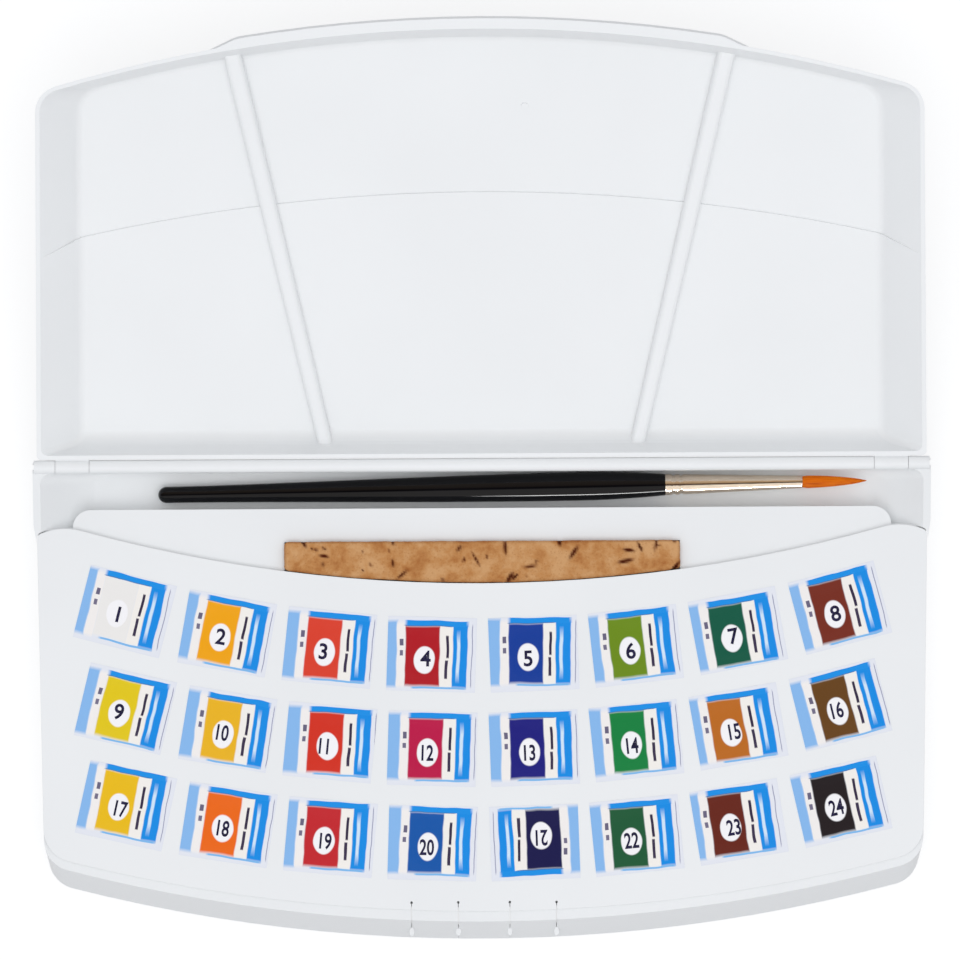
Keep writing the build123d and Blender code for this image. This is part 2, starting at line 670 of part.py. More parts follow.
with BuildPart() as brush_handle:
    tenon_gap = FERRULE_WALL + CRIMP_DEPTH + PAINT_GAP
    tenon = ferrule_radius(TENON_LENGTH) - tenon_gap
    shoulder = HANDLE_NECK_RADIUS - tenon_gap
    with BuildSketch(BRUSH_SIDE):
        with BuildLine():
            dome = ThreePointArc(
                (0, 0),
                (HANDLE_END_RADIUS * (1 - cos(pi / 4)), HANDLE_END_RADIUS * sin(pi / 4)),
                (HANDLE_END_RADIUS, HANDLE_END_RADIUS),
            )
            swell = Bezier(
                dome @ 1,
                (BELLY_AT * SWELL_START, HANDLE_END_RADIUS),
                (BELLY_AT * SWELL_FULL, BELLY_RADIUS),
                (BELLY_AT, BELLY_RADIUS),
            )
            neck_run = HANDLE_LENGTH - BELLY_AT
            neck = Bezier(
                swell @ 1, (BELLY_AT + neck_run / 2, BELLY_RADIUS), (HANDLE_LENGTH, HANDLE_NECK_RADIUS)
            )
            Polyline(
                neck @ 1, (HANDLE_LENGTH, shoulder), (HANDLE_LENGTH + TENON_LENGTH, tenon),
                (HANDLE_LENGTH + TENON_LENGTH, 0), (0, 0),
            )
        make_face()
    revolve(axis=Axis(BRUSH_END, BRUSH_AXIS))

brush_handle.part.label = "brush_handle"
export_step(brush_handle.part, "parts/brush_handle.step")

with BuildPart() as brush_ferrule:
    outer_line = [(HANDLE_LENGTH, HANDLE_NECK_RADIUS)]
    for crimp in CRIMP_PLACES:
        crimp_start = crimp - CRIMP_WIDTH / 2
        crimp_end = crimp + CRIMP_WIDTH / 2
        outer_line.append((HANDLE_LENGTH + crimp_start, ferrule_radius(crimp_start)))
        outer_line.append((HANDLE_LENGTH + crimp, ferrule_radius(crimp) - CRIMP_DEPTH))
        outer_line.append((HANDLE_LENGTH + crimp_end, ferrule_radius(crimp_end)))
    outer_line.append((FERRULE_END, FERRULE_MOUTH_RADIUS))
    inner_line = [(along, radius - FERRULE_WALL) for along, radius in reversed(outer_line)]
    with BuildSketch(BRUSH_SIDE):
        with BuildLine():
            Polyline(*outer_line, *inner_line, close=True)
        make_face()
    revolve(axis=Axis(BRUSH_END, BRUSH_AXIS))

brush_ferrule.part.label = "brush_ferrule"
export_step(brush_ferrule.part, "parts/brush_ferrule.step")


def tuft_plane(along):
    """Plane across the tuft at a distance past the ferrule's mouth."""
    return Plane(origin=BRUSH_END + BRUSH_AXIS * (FERRULE_END + along), x_dir=(0, 0, 1), z_dir=BRUSH_AXIS)


def strand_spots():
    """Spots of the strands in a disc of radius one, ring by ring on a triangular grid."""
    spots = [(0.0, 0.0)]
    for ring in range(1, STRAND_RINGS + 1):
        for step in range(6 * ring):
            turn = 2 * pi * step / (6 * ring)
            spots.append((cos(turn) * ring / STRAND_RINGS, sin(turn) * ring / STRAND_RINGS))
    return spots


def strand(spot):
    """One three-sided bristle that spreads to the belly and ends sooner the further out it stands."""
    inward = max(0.0, 1 - hypot(*spot))
    end = TUFT_BELLY_AT + TUFT_ROOT + (TUFT_LENGTH - TUFT_BELLY_AT - TUFT_ROOT) * inward**TUFT_POINT
    thickness = STRAND_FILL * TUFT_BELLY_RADIUS / STRAND_RINGS
    stations = (
        (-TUFT_ROOT / 2, TUFT_FILL - thickness, thickness * TUFT_CLOSING),
        (TUFT_BELLY_AT, TUFT_BELLY_RADIUS, thickness),
        (end, TUFT_BELLY_RADIUS * TUFT_CLOSING, thickness / 2),
    )
    sections = []
    for along, radius, thick in stations:
        with BuildSketch(tuft_plane(along)) as section:
            with Locations((spot[0] * radius, spot[1] * radius)):
                RegularPolygon(thick, 3)
        sections.append(section.sketch)
    with BuildPart() as bristle:
        loft(sections, ruled=True)
    return bristle.part


with BuildPart() as brush_tuft:
    with BuildSketch(tuft_plane(-TUFT_ROOT)):
        Circle(TUFT_FILL)
    extrude(amount=TUFT_ROOT)
    add([strand(spot) for spot in strand_spots()])

brush_tuft.part.label = "brush_tuft"
export_step(brush_tuft.part, "parts/brush_tuft.step")
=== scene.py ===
"""Looks of an open watercolor paint box: moulded shells, wrapped half pans, a brush and a sponge.

Sizes are in millimetres, angles in degrees and the lamps' power in watts, unless a comment says otherwise.
"""

import json
import logging
import math
from abc import ABC, abstractmethod
from dataclasses import dataclass
from enum import Enum
from random import Random
from typing import Any

import bmesh
import bpy
from mathutils import Matrix, Vector, noise

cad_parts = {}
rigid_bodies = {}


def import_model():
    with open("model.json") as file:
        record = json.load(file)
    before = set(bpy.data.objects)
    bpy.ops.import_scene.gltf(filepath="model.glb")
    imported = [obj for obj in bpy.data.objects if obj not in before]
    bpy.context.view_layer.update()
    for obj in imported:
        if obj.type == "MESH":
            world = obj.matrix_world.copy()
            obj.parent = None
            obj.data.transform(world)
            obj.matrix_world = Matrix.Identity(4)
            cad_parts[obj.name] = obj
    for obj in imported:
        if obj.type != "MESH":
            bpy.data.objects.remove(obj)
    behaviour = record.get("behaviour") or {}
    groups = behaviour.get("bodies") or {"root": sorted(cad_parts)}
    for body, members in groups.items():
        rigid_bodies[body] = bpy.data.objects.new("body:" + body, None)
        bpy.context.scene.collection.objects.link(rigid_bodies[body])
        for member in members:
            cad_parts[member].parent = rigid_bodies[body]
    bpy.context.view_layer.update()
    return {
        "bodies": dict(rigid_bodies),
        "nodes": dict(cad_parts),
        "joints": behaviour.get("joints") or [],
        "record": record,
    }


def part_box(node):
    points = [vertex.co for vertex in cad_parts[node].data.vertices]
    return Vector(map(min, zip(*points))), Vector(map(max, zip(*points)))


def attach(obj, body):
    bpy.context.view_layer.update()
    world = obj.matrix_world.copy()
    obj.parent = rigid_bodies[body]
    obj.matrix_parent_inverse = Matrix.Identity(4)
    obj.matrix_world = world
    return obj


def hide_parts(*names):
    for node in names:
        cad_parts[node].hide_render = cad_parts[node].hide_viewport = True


log = logging.getLogger("paint_box")

MM = 0.001

Tree = bpy.types.NodeTree
Socket = bpy.types.NodeSocket
Span = tuple[float, float]
Place = tuple[float, float, float]
Tones = tuple[tuple[float, str], ...]
Settings = tuple[tuple[str, Any], ...]


def linear(code: str) -> tuple[float, float, float, float]:
    """Turn an sRGB hex colour into a linear one.

    Args:
        code: six hex digits, with or without a leading hash.

    Returns:
        Red, green, blue and alpha, linear.
    """
    digits = code.lstrip("#")
    channels = [int(digits[i : i + 2], 16) / 255 for i in (0, 2, 4)]
    red, green, blue = (c / 12.92 if c <= 0.04045 else ((c + 0.055) / 1.055) ** 2.4 for c in channels)
    return red, green, blue, 1.0


def add_node(
    tree: Tree,
    kind: str,
    settings: dict[Any, Any] | None = None,
    links: dict[Any, Socket] | None = None,
) -> bpy.types.Node:
    """Add a node with its settings and its incoming links.

    Args:
        tree: the node tree that gets the node.
        kind: the node's type.
        settings: values by attribute, input name or input number, and the stops of a colour ramp as "stops".
        links: output sockets by input name or input number.

    Returns:
        The new node.
    """
    node = tree.nodes.new(kind)
    for key, value in (settings or {}).items():
        if key == "stops":
            ramp = node.color_ramp.elements
            while len(ramp) < len(value):
                ramp.new(1.0)
            for element, (place, code) in zip(ramp, value):
                element.position = place
                element.color = linear(code)
        elif isinstance(key, str) and hasattr(node, key):
            setattr(node, key, value)
        else:
            node.inputs[key].default_value = value
    for key, socket in (links or {}).items():
        tree.links.new(socket, node.inputs[key])
    return node


def new_piece(bm: bmesh.types.BMesh, name: str, materials: list[bpy.types.Material]) -> bpy.types.Object:
    """Turn a finished bmesh into an object at the origin.

    Args:
        bm: the shape, in the box's frame, in metres. It is freed.
        name: the piece's name.
        materials: the materials by slot.

    Returns:
        The new object.
    """
    mesh = bpy.data.meshes.new(name)
    bm.to_mesh(mesh)
    bm.free()
    for material in materials:
        mesh.materials.append(material)
    piece = bpy.data.objects.new(name, mesh)
    bpy.context.scene.collection.objects.link(piece)
    return piece


def stand_in(piece: bpy.types.Object, body: str, node: str) -> None:
    """Let a piece take the place of a CAD node, and report it.

    Args:
        piece: the piece.
        body: the body that it rides on.
        node: the node that it replaces.
    """
    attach(piece, body)
    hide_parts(node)
    log.info("%s: %d faces", piece.name, len(piece.data.polygons))


def smooth_by_angle(bm: bmesh.types.BMesh, degrees: float) -> None:
    """Shade the faces smooth and mark the edges sharper than an angle.

    Args:
        bm: the shape.
        degrees: the angle between two faces past which their edge is sharp.
    """
    limit = math.radians(degrees)
    for face in bm.faces:
        face.smooth = True
    for edge in bm.edges:
        edge.smooth = len(edge.link_faces) == 2 and edge.calc_face_angle(0.0) < limit


def apply_modifiers(piece: bpy.types.Object) -> None:
    """Bake a piece's modifiers into its mesh.

    Args:
        piece: the object.
    """
    graph = bpy.context.evaluated_depsgraph_get()
    done = bpy.data.meshes.new_from_object(piece.evaluated_get(graph))
    old = piece.data
    piece.modifiers.clear()
    piece.data = done
    bpy.data.meshes.remove(old)


def hang_lamp(name: str, place: Place, power: float, shape: str) -> bpy.types.Object:
    """Add an area lamp that faces the box.

    Args:
        name: the lamp's name.
        place: its place in millimetres.
        power: its power in watts.
        shape: the shape of its face.

    Returns:
        The lamp.
    """
    data = bpy.data.lights.new(name, "AREA")
    data.shape = shape
    data.energy = power
    lamp = bpy.data.objects.new(name, data)
    lamp.location = Vector(place) * MM
    lamp.rotation_euler = (-lamp.location).to_track_quat("-Z", "Y").to_euler()
    bpy.context.scene.collection.objects.link(lamp)
    return lamp


def smoothstep(share: float) -> float:
    """Ease a share from nought to one.

    Args:
        share: any number.

    Returns:
        The eased share, held between nought and one.
    """
    held = min(1.0, max(0.0, share))
    return held * held * (3 - 2 * held)


class PatchShape(Enum):
    """Outline of a printed patch."""

    BOX = "box"
    OVAL = "oval"


@dataclass(frozen=True)
class Finish(ABC):
    """A finish: the values that hold all over it, and the patterns that feed its shader's other inputs."""

    name: str
    plain: Settings = ()

    def build(self) -> bpy.types.Material:
        """Build the material.

        Returns:
            The material.
        """
        material = bpy.data.materials.new(self.name)
        material.use_nodes = True
        tree = material.node_tree
        shader = tree.nodes["Principled BSDF"]
        for socket, value in self.plain:
            shader.inputs[socket].default_value = value
        for socket, pattern in self.patterns(tree).items():
            tree.links.new(pattern, shader.inputs[socket])
        return material

    @abstractmethod
    def patterns(self, tree: Tree) -> dict[str, Socket]:
        """Draw the patterns of the finish.

        Args:
            tree: the material's node tree.

        Returns:
            Each pattern by the shader's input that it feeds.
        """


@dataclass(frozen=True)
class CloudedFinish(Finish):
    """A finish whose tone, and where given its gloss and relief, follow a soft cloud over the piece.

    The cloud's patches can be drawn out along X, as along a brush or a wire. Sizes are in millimetres.
    """

    tones: Tones = ()
    patch: float = 1.0
    layers: float = 2.0
    stretch: float = 1.0
    unevenness: Settings = ()
    rough_span: Span | None = None
    relief_size: float | None = None
    relief_depth: float = 0.0
    relief_strength: float = 0.3

    def patterns(self, tree: Tree) -> dict[str, Socket]:
        """Draw the cloud, and the tones, gloss and relief that follow it.

        Args:
            tree: the material's node tree.

        Returns:
            Each pattern by the shader's input that it feeds.
        """
        place = {"Vector": add_node(tree, "ShaderNodeTexCoord").outputs["Object"]}
        if self.stretch != 1.0:
            drawn = add_node(tree, "ShaderNodeMapping", {"Scale": (1 / self.stretch, 1.0, 1.0)}, place)
            place = {"Vector": drawn.outputs["Vector"]}
        settings = {"Scale": 1 / (self.patch * MM), "Detail": self.layers, **dict(self.unevenness)}
        cloud = add_node(tree, "ShaderNodeTexNoise", settings, place).outputs["Fac"]
        fed = {}
        if self.tones:
            tint = add_node(tree, "ShaderNodeValToRGB", {"stops": self.tones}, {"Fac": cloud})
            fed["Base Color"] = tint.outputs["Color"]
        if self.rough_span:
            span = {"To Min": self.rough_span[0], "To Max": self.rough_span[1]}
            fed["Roughness"] = add_node(tree, "ShaderNodeMapRange", span, {"Value": cloud}).outputs["Result"]
        if self.relief_depth:
            height = cloud
            if self.relief_size:
                grain = {"Scale": 1 / (self.relief_size * MM), "Detail": 2.0}
                height = add_node(tree, "ShaderNodeTexNoise", grain, place).outputs["Fac"]
            depth = {"Strength": self.relief_strength, "Distance": self.relief_depth * MM}
            fed["Normal"] = add_node(tree, "ShaderNodeBump", depth, {"Height": height}).outputs["Normal"]
        return fed


@dataclass(frozen=True)
class MouldedPlastic(CloudedFinish):
    """Injection-moulded white ABS, satin from a fine spark-eroded tool, so highlights are soft and wide."""

    name: str = "moulded_white_abs"
    plain: Settings = (("IOR", 1.53),)
    # The cloud between the two near whites paints faint, broad patches of shade, as a moulding's shallow
    # sink marks show.
    tones: Tones = ((0.35, "#f0f2f3"), (0.65, "#f2f4f5"))
    patch: float = 38.0
    rough_span: Span | None = (0.3, 0.38)
    # The tool's own texture is finer than a tenth of a millimetre, so it is drawn as coarse as can show.
    relief_size: float | None = 0.35
    relief_depth: float = 0.004
    relief_strength: float = 0.25


@dataclass(frozen=True)
class SteelWire(CloudedFinish):
    """Drawn steel wire of the hinge pins, its gloss broken by fine lines along it."""

    name: str = "drawn_steel_wire"
    plain: Settings = (("Base Color", linear("#b9babb")), ("Metallic", 1.0))
    # Drawing lines are a few hundredths of a millimetre wide, so they are drawn coarser to show close up.
    patch: float = 0.08
    layers: float = 3.0
    stretch: float = 20.0
    rough_span: Span | None = (0.22, 0.42)


@dataclass(frozen=True)
class NumberInk(CloudedFinish):
    """Dark navy printing ink under the film, smooth and slightly glossy."""

    name: str = "navy_printing_ink"
    plain: Settings = (("Roughness", 0.2),)
    tones: Tones = ((0.4, "#1d1c3a"), (0.7, "#2d2b52"))
    patch: float = 1.2


@dataclass(frozen=True)
class CupPlastic(CloudedFinish):
    """Vacuum-formed white polystyrene of the half pans, glossier than the moulded shells."""

    name: str = "formed_white_polystyrene"
    plain: Settings = (("Roughness", 0.25), ("IOR", 1.59))
    tones: Tones = ((0.35, "#e6e8ea"), (0.7, "#f1f2f2"))
    patch: float = 9.0
    layers: float = 1.0


@dataclass(frozen=True)
class BlackLacquer(CloudedFinish):
    """Dipped black lacquer over turned wood, a deep gloss with slow waves along the grain."""

    name: str = "dipped_black_lacquer"
    plain: Settings = (("Roughness", 0.06), ("Specular IOR Level", 0.25))
    tones: Tones = ((0.4, "#07070a"), (0.7, "#0b0b0f"))
    patch: float = 6.0
    stretch: float = 5.0
    relief_depth: float = 0.01


@dataclass(frozen=True)
class NickelTube(CloudedFinish):
    """Nickel-plated brass tube of the ferrule, polished, with faint drawing lines and a warm tinge."""

    name: str = "nickel_plated_brass"
    plain: Settings = (("Metallic", 1.0),)
    tones: Tones = ((0.3, "#dccab4"), (0.6, "#f3e6d6"))
    # As on the wire, the lines are drawn coarser than they are.
    patch: float = 0.1
    stretch: float = 100 / 3
    rough_span: Span | None = (0.1, 0.2)


@dataclass(frozen=True)
class SyntheticHair(CloudedFinish):
    """Golden polyester filament, tapered and slightly glossy, in streaks of lighter and darker gold."""

    name: str = "golden_polyester_filament"
    plain: Settings = (("Roughness", 0.45), ("Specular IOR Level", 0.15))
    tones: Tones = ((0.3, "#cc5e04"), (0.48, "#ea7608"), (0.7, "#f28c12"))
    # A filament is about a tenth of a millimetre thick, so a streak is drawn two filaments wide to show.
    patch: float = 0.22
    stretch: float = 25.0


@dataclass(frozen=True)
class DrySponge(CloudedFinish):
    """Dry natural sponge, tan and brown with painted shade in its pits, at its foot and round its top's
    edges, matt, with a fine crumb of pores.
    """

    name: str = "dry_tan_sponge"
    plain: Settings = (("Roughness", 0.85), ("Specular IOR Level", 0.2))
    tones: Tones = ((0.3, "#a96a36"), (0.45, "#c28a54"), (0.6, "#d1a06e"))
    patch: float = 4.6
    layers: float = 5.0
    unevenness: Settings = (("Roughness", 0.6), ("Distortion", 0.15))
    pore: str = "#a96a36"
    pore_span: Span = (0.05, 0.35)
    pore_tone: float = 0.4
    # Dark brown of the painted shade that the pit mark lays in the pits, at the foot and round the top's
    # edges.
    pit: str = "#581f08"
    crumb_size: float = 0.7
    crumb_depth: float = 0.25
    crumb_strength: float = 0.8

    def patterns(self, tree: Tree) -> dict[str, Socket]:
        """Draw the blotches, the pores over them, and over both the painted shade of the pits, foot and
        top's edges.

        Args:
            tree: the material's node tree.

        Returns:
            Each pattern by the shader's input that it feeds.
        """
        colour = super().patterns(tree)["Base Color"]
        place = add_node(tree, "ShaderNodeTexCoord").outputs["Object"]
        cells = {"Scale": 1 / (self.crumb_size * MM), "Randomness": 1.0}
        crumb = add_node(tree, "ShaderNodeTexVoronoi", cells, {"Vector": place}).outputs["Distance"]
        near, far = self.pore_span
        fading = {"From Min": near, "From Max": far, "To Min": self.pore_tone, "To Max": 0.0}
        pores = add_node(tree, "ShaderNodeMapRange", fading, {"Value": crumb}).outputs["Result"]
        # The pit mark is painted shade: deep in the pits, at the foot and round the top's edges.
        pits = add_node(tree, "ShaderNodeAttribute", {"attribute_name": "pit"}).outputs["Fac"]
        for code, share in ((self.pore, pores), (self.pit, pits)):
            over = {"data_type": "RGBA", 7: linear(code)}
            colour = add_node(tree, "ShaderNodeMix", over, {0: share, 6: colour}).outputs[2]
        depth = {"Strength": self.crumb_strength, "Distance": self.crumb_depth * MM}
        relief = add_node(tree, "ShaderNodeBump", depth, {"Height": crumb})
        return {"Base Color": colour, "Normal": relief.outputs["Normal"]}


@dataclass(frozen=True)
class Patch:
    """One printed area of the pan's label, in millimetres from the label's middle."""

    colour: str
    middle: Span
    half: Span
    shape: PatchShape = PatchShape.BOX
    blur: float = 0.06


@dataclass(frozen=True)
class PrintedLabel(Finish):
    """Coated paper, offset printed and wound in clear cellophane, whose gloss breaks at small creases."""

    name: str = "printed_label_in_cellophane"
    plain: Settings = (
        ("Roughness", 0.42),
        ("IOR", 1.5),
        ("Specular IOR Level", 0.25),
        ("Coat Weight", 0.25),
        ("Coat Roughness", 0.1),
    )
    paper: str = "#e9ecf4"
    sheet: float = 44.0
    wobble: float = 0.28
    wobble_size: float = 5.0
    crease_size: float = 2.6
    crease_depth: float = 0.12
    crease_strength: float = 0.6
    band: Patch = Patch("#e9ecf4", (-1.8, -0.3), (3.9, 6.75))
    patches: tuple[Patch, ...] = (
        Patch("#8abcf0", (-12.2, 0.0), (4.6, 7.4)),
        Patch("#f7f3f0", (-6.65, -0.2), (0.95, 7.2)),
        Patch("#f8f4ee", (3.55, -0.3), (1.45, 6.9)),
        Patch("#008ee8", (6.6, -0.2), (1.65, 7.1)),
        Patch("#0c92ea", (1.3, 7.1), (6.9, 0.62)),
        Patch("#3f78b4", (-0.6, 6.5), (5.2, 0.09)),
        Patch("#7fbdf1", (2.0, -7.45), (6.0, 0.22)),
        Patch("#352c48", (3.75, 1.9), (0.3, 2.5)),
        Patch("#3d3450", (3.6, -3.2), (0.33, 2.1)),
        Patch("#6a6580", (-6.55, 2.6), (0.42, 0.75)),
        Patch("#75708a", (-6.6, 0.2), (0.38, 0.6)),
        Patch("#fbfafc", (-1.3, -1.2), (2.35, 3.1), PatchShape.OVAL, 0.05),
        # Painted highlight: a pale soft streak on the blue end stands for the film's glare along a crease.
        Patch("#d6ebfc", (6.2, -0.3), (0.36, 4.7), PatchShape.BOX, 0.3),
        Patch("#9a9cb8", (9.3, 0.0), (0.1, 6.9)),
    )

    def patterns(self, tree: Tree) -> dict[str, Socket]:
        """Draw the print, with a broad band of the paint's own colour and a painted highlight of the film's
        glare, and the creases of the film.

        Args:
            tree: the material's node tree.

        Returns:
            Each pattern by the shader's input that it feeds.
        """
        place = self._place(tree)
        paint = add_node(tree, "ShaderNodeAttribute", {"attribute_name": "paint_colour"}).outputs["Color"]
        colour = self._lay(tree, place, self.band, {7: paint})
        for patch in self.patches:
            colour = self._lay(tree, place, patch, {6: colour})
        crease = add_node(
            tree,
            "ShaderNodeTexNoise",
            {"Scale": 1 / (self.crease_size * MM), "Detail": 3.0, "Roughness": 0.55, "Distortion": 0.8},
            {"Vector": add_node(tree, "ShaderNodeTexCoord").outputs["Object"]},
        )
        depth = {"Strength": self.crease_strength, "Distance": self.crease_depth * MM}
        relief = add_node(tree, "ShaderNodeBump", depth, {"Height": crease.outputs["Fac"]})
        return {"Base Color": colour, "Coat Normal": relief.outputs["Normal"]}

    def _place(self, tree: Tree) -> Socket:
        """Place on the unrolled label in millimetres, a little uneven, as a machine-wound label is.

        Args:
            tree: the material's node tree.

        Returns:
            The place.
        """
        corner = -self.sheet / 2 - self.wobble
        unrolled = add_node(
            tree,
            "ShaderNodeVectorMath",
            {"operation": "MULTIPLY_ADD", 1: (self.sheet, self.sheet, 0.0), 2: (corner, corner, 0.0)},
            {0: add_node(tree, "ShaderNodeUVMap", {"uv_map": "label"}).outputs["UV"]},
        )
        drift = add_node(
            tree,
            "ShaderNodeTexNoise",
            {"Scale": 1 / (self.wobble_size * MM), "Detail": 1.0},
            {"Vector": add_node(tree, "ShaderNodeTexCoord").outputs["Object"]},
        )
        uneven = add_node(
            tree,
            "ShaderNodeVectorMath",
            {"operation": "MULTIPLY_ADD", 1: (2 * self.wobble, 2 * self.wobble, 0.0)},
            {0: drift.outputs["Color"], 2: unrolled.outputs["Vector"]},
        )
        return uneven.outputs["Vector"]

    def _lay(self, tree: Tree, place: Socket, patch: Patch, colours: dict[int, Socket]) -> Socket:
        """Lay one patch over the label.

        Args:
            tree: the material's node tree.
            place: the place on the label.
            patch: the printed area.
            colours: 6 is what lies below, if not bare paper, and 7 what the patch shows, if not its own.

        Returns:
            The colour of the label with the patch.
        """
        mixed = add_node(
            tree,
            "ShaderNodeMix",
            {"data_type": "RGBA", 6: linear(self.paper), 7: linear(patch.colour)},
            {0: self._mask(tree, place, patch), **colours},
        )
        return mixed.outputs[2]

    def _mask(self, tree: Tree, place: Socket, patch: Patch) -> Socket:
        """One inside a patch and nought outside.

        Args:
            tree: the material's node tree.
            place: the place on the label.
            patch: the printed area.

        Returns:
            The mask.
        """
        frame = {"vector_type": "TEXTURE", "Location": (*patch.middle, 0.0), "Scale": (*patch.half, 1.0)}
        share = {0: add_node(tree, "ShaderNodeMapping", frame, {"Vector": place}).outputs["Vector"]}
        if patch.shape is PatchShape.OVAL:
            length = add_node(tree, "ShaderNodeVectorMath", {"operation": "LENGTH"}, share)
            reach = length.outputs["Value"]
        else:
            both = add_node(tree, "ShaderNodeVectorMath", {"operation": "ABSOLUTE"}, share)
            parts = add_node(tree, "ShaderNodeSeparateXYZ", {}, {0: both.outputs["Vector"]})
            sides = {0: parts.outputs["X"], 1: parts.outputs["Y"]}
            reach = add_node(tree, "ShaderNodeMath", {"operation": "MAXIMUM"}, sides).outputs[0]
        fading = {"From Min": 1 - patch.blur, "From Max": 1 + patch.blur, "To Min": 1.0, "To Max": 0.0}
        return add_node(tree, "ShaderNodeMapRange", fading, {"Value": reach}).outputs["Result"]


@dataclass(frozen=True)
class PaleFloor(Finish):
    """Matt pale board, brightened only where it is seen or mirrored, so it sheds no more light."""

    name: str = "pale_floor"
    plain: Settings = (
        ("Base Color", linear("#9c9d9e")),
        ("Roughness", 0.9),
        ("Specular IOR Level", 0.1),
        ("Emission Color", linear("#ffffff")),
    )
    glow: float = 0.74

    def patterns(self, tree: Tree) -> dict[str, Socket]:
        """Let the floor glow for the camera, for gloss and for glass.

        Args:
            tree: the material's node tree.

        Returns:
            The glow by the shader's input that it feeds.
        """
        rays = add_node(tree, "ShaderNodeLightPath").outputs
        seen = rays["Is Camera Ray"]
        for kind in ("Is Glossy Ray", "Is Transmission Ray"):
            either = {0: seen, 1: rays[kind]}
            seen = add_node(tree, "ShaderNodeMath", {"operation": "MAXIMUM"}, either).outputs[0]
        glow = add_node(tree, "ShaderNodeMath", {"operation": "MULTIPLY", 1: self.glow}, {0: seen})
        return {"Emission Strength": glow.outputs[0]}


@dataclass
class Studio:
    """Plain pale floor, soft light and the camera straight above the open box."""

    camera_height: float = 2312.0
    lens: float = 383.0
    sensor: float = 36.0
    view_centre: Span = (-0.4, 49.35)
    view_depth: float = 20000.0
    roll: float = -0.31
    floor_size: float = 2600.0
    floor_gap: float = 0.05
    sky_colour: str = "#fafbff"
    sky_strength: float = 0.66
    mirrored: Tones = (
        (0.36, "#fffaf4"),
        (0.43, "#2a1c14"),
        (0.5, "#3c2a1c"),
        (0.6, "#b09a80"),
        (1.0, "#dccdba"),
    )
    softbox_place: Place = (0.0, -250.0, 1500.0)
    softbox_size: float = 1300.0
    softbox_power: float = 8.5

    def build(self) -> None:
        """Build the camera, the lights and the floor."""
        self._camera()
        self._world()
        self._softbox()
        self._floor()

    def _camera(self) -> None:
        """Hang the camera over the box, turned by the photograph's small tilt."""
        data = bpy.data.cameras.new("camera")
        data.lens = self.lens
        data.sensor_width = self.sensor
        data.sensor_fit = "HORIZONTAL"
        data.clip_end = self.view_depth * MM
        camera = bpy.data.objects.new("camera", data)
        camera.location = Vector((*self.view_centre, self.camera_height)) * MM
        camera.rotation_euler = (0.0, 0.0, math.radians(self.roll))
        bpy.context.scene.collection.objects.link(camera)
        bpy.context.scene.camera = camera

    def _world(self) -> None:
        """Surround the scene with even white light, which gloss sees dark overhead and warm behind."""
        world = bpy.data.worlds.new("studio")
        world.use_nodes = True
        tree = world.node_tree
        background = tree.nodes["Background"]
        place = add_node(tree, "ShaderNodeTexCoord").outputs["Generated"]
        way = add_node(tree, "ShaderNodeSeparateXYZ", {}, {0: place}).outputs["Y"]
        share = add_node(tree, "ShaderNodeMapRange", {"From Min": -1.0}, {"Value": way}).outputs["Result"]
        mirrored = add_node(tree, "ShaderNodeValToRGB", {"stops": self.mirrored}, {"Fac": share})
        seen = add_node(tree, "ShaderNodeLightPath").outputs["Is Glossy Ray"]
        plain = {"data_type": "RGBA", 6: linear(self.sky_colour)}
        colour = add_node(tree, "ShaderNodeMix", plain, {0: seen, 7: mirrored.outputs["Color"]})
        span = {"To Min": self.sky_strength, "To Max": 1.0}
        strength = add_node(tree, "ShaderNodeMapRange", span, {"Value": seen})
        tree.links.new(colour.outputs[2], background.inputs["Color"])
        tree.links.new(strength.outputs["Result"], background.inputs["Strength"])
        bpy.context.scene.world = world

    def _softbox(self) -> None:
        """Hang a wide soft lamp above, which gloss doesn't show."""
        softbox = hang_lamp("softbox", self.softbox_place, self.softbox_power, "DISK")
        softbox.data.size = self.softbox_size * MM
        softbox.visible_glossy = False

    def _floor(self) -> None:
        """Lay the pale floor a hair's breadth under the box."""
        bm = bmesh.new()
        bmesh.ops.create_grid(bm, x_segments=1, y_segments=1, size=self.floor_size * MM / 2)
        bmesh.ops.translate(bm, vec=(0, 0, -self.floor_gap * MM), verts=bm.verts)
        new_piece(bm, "floor", [PaleFloor().build()])


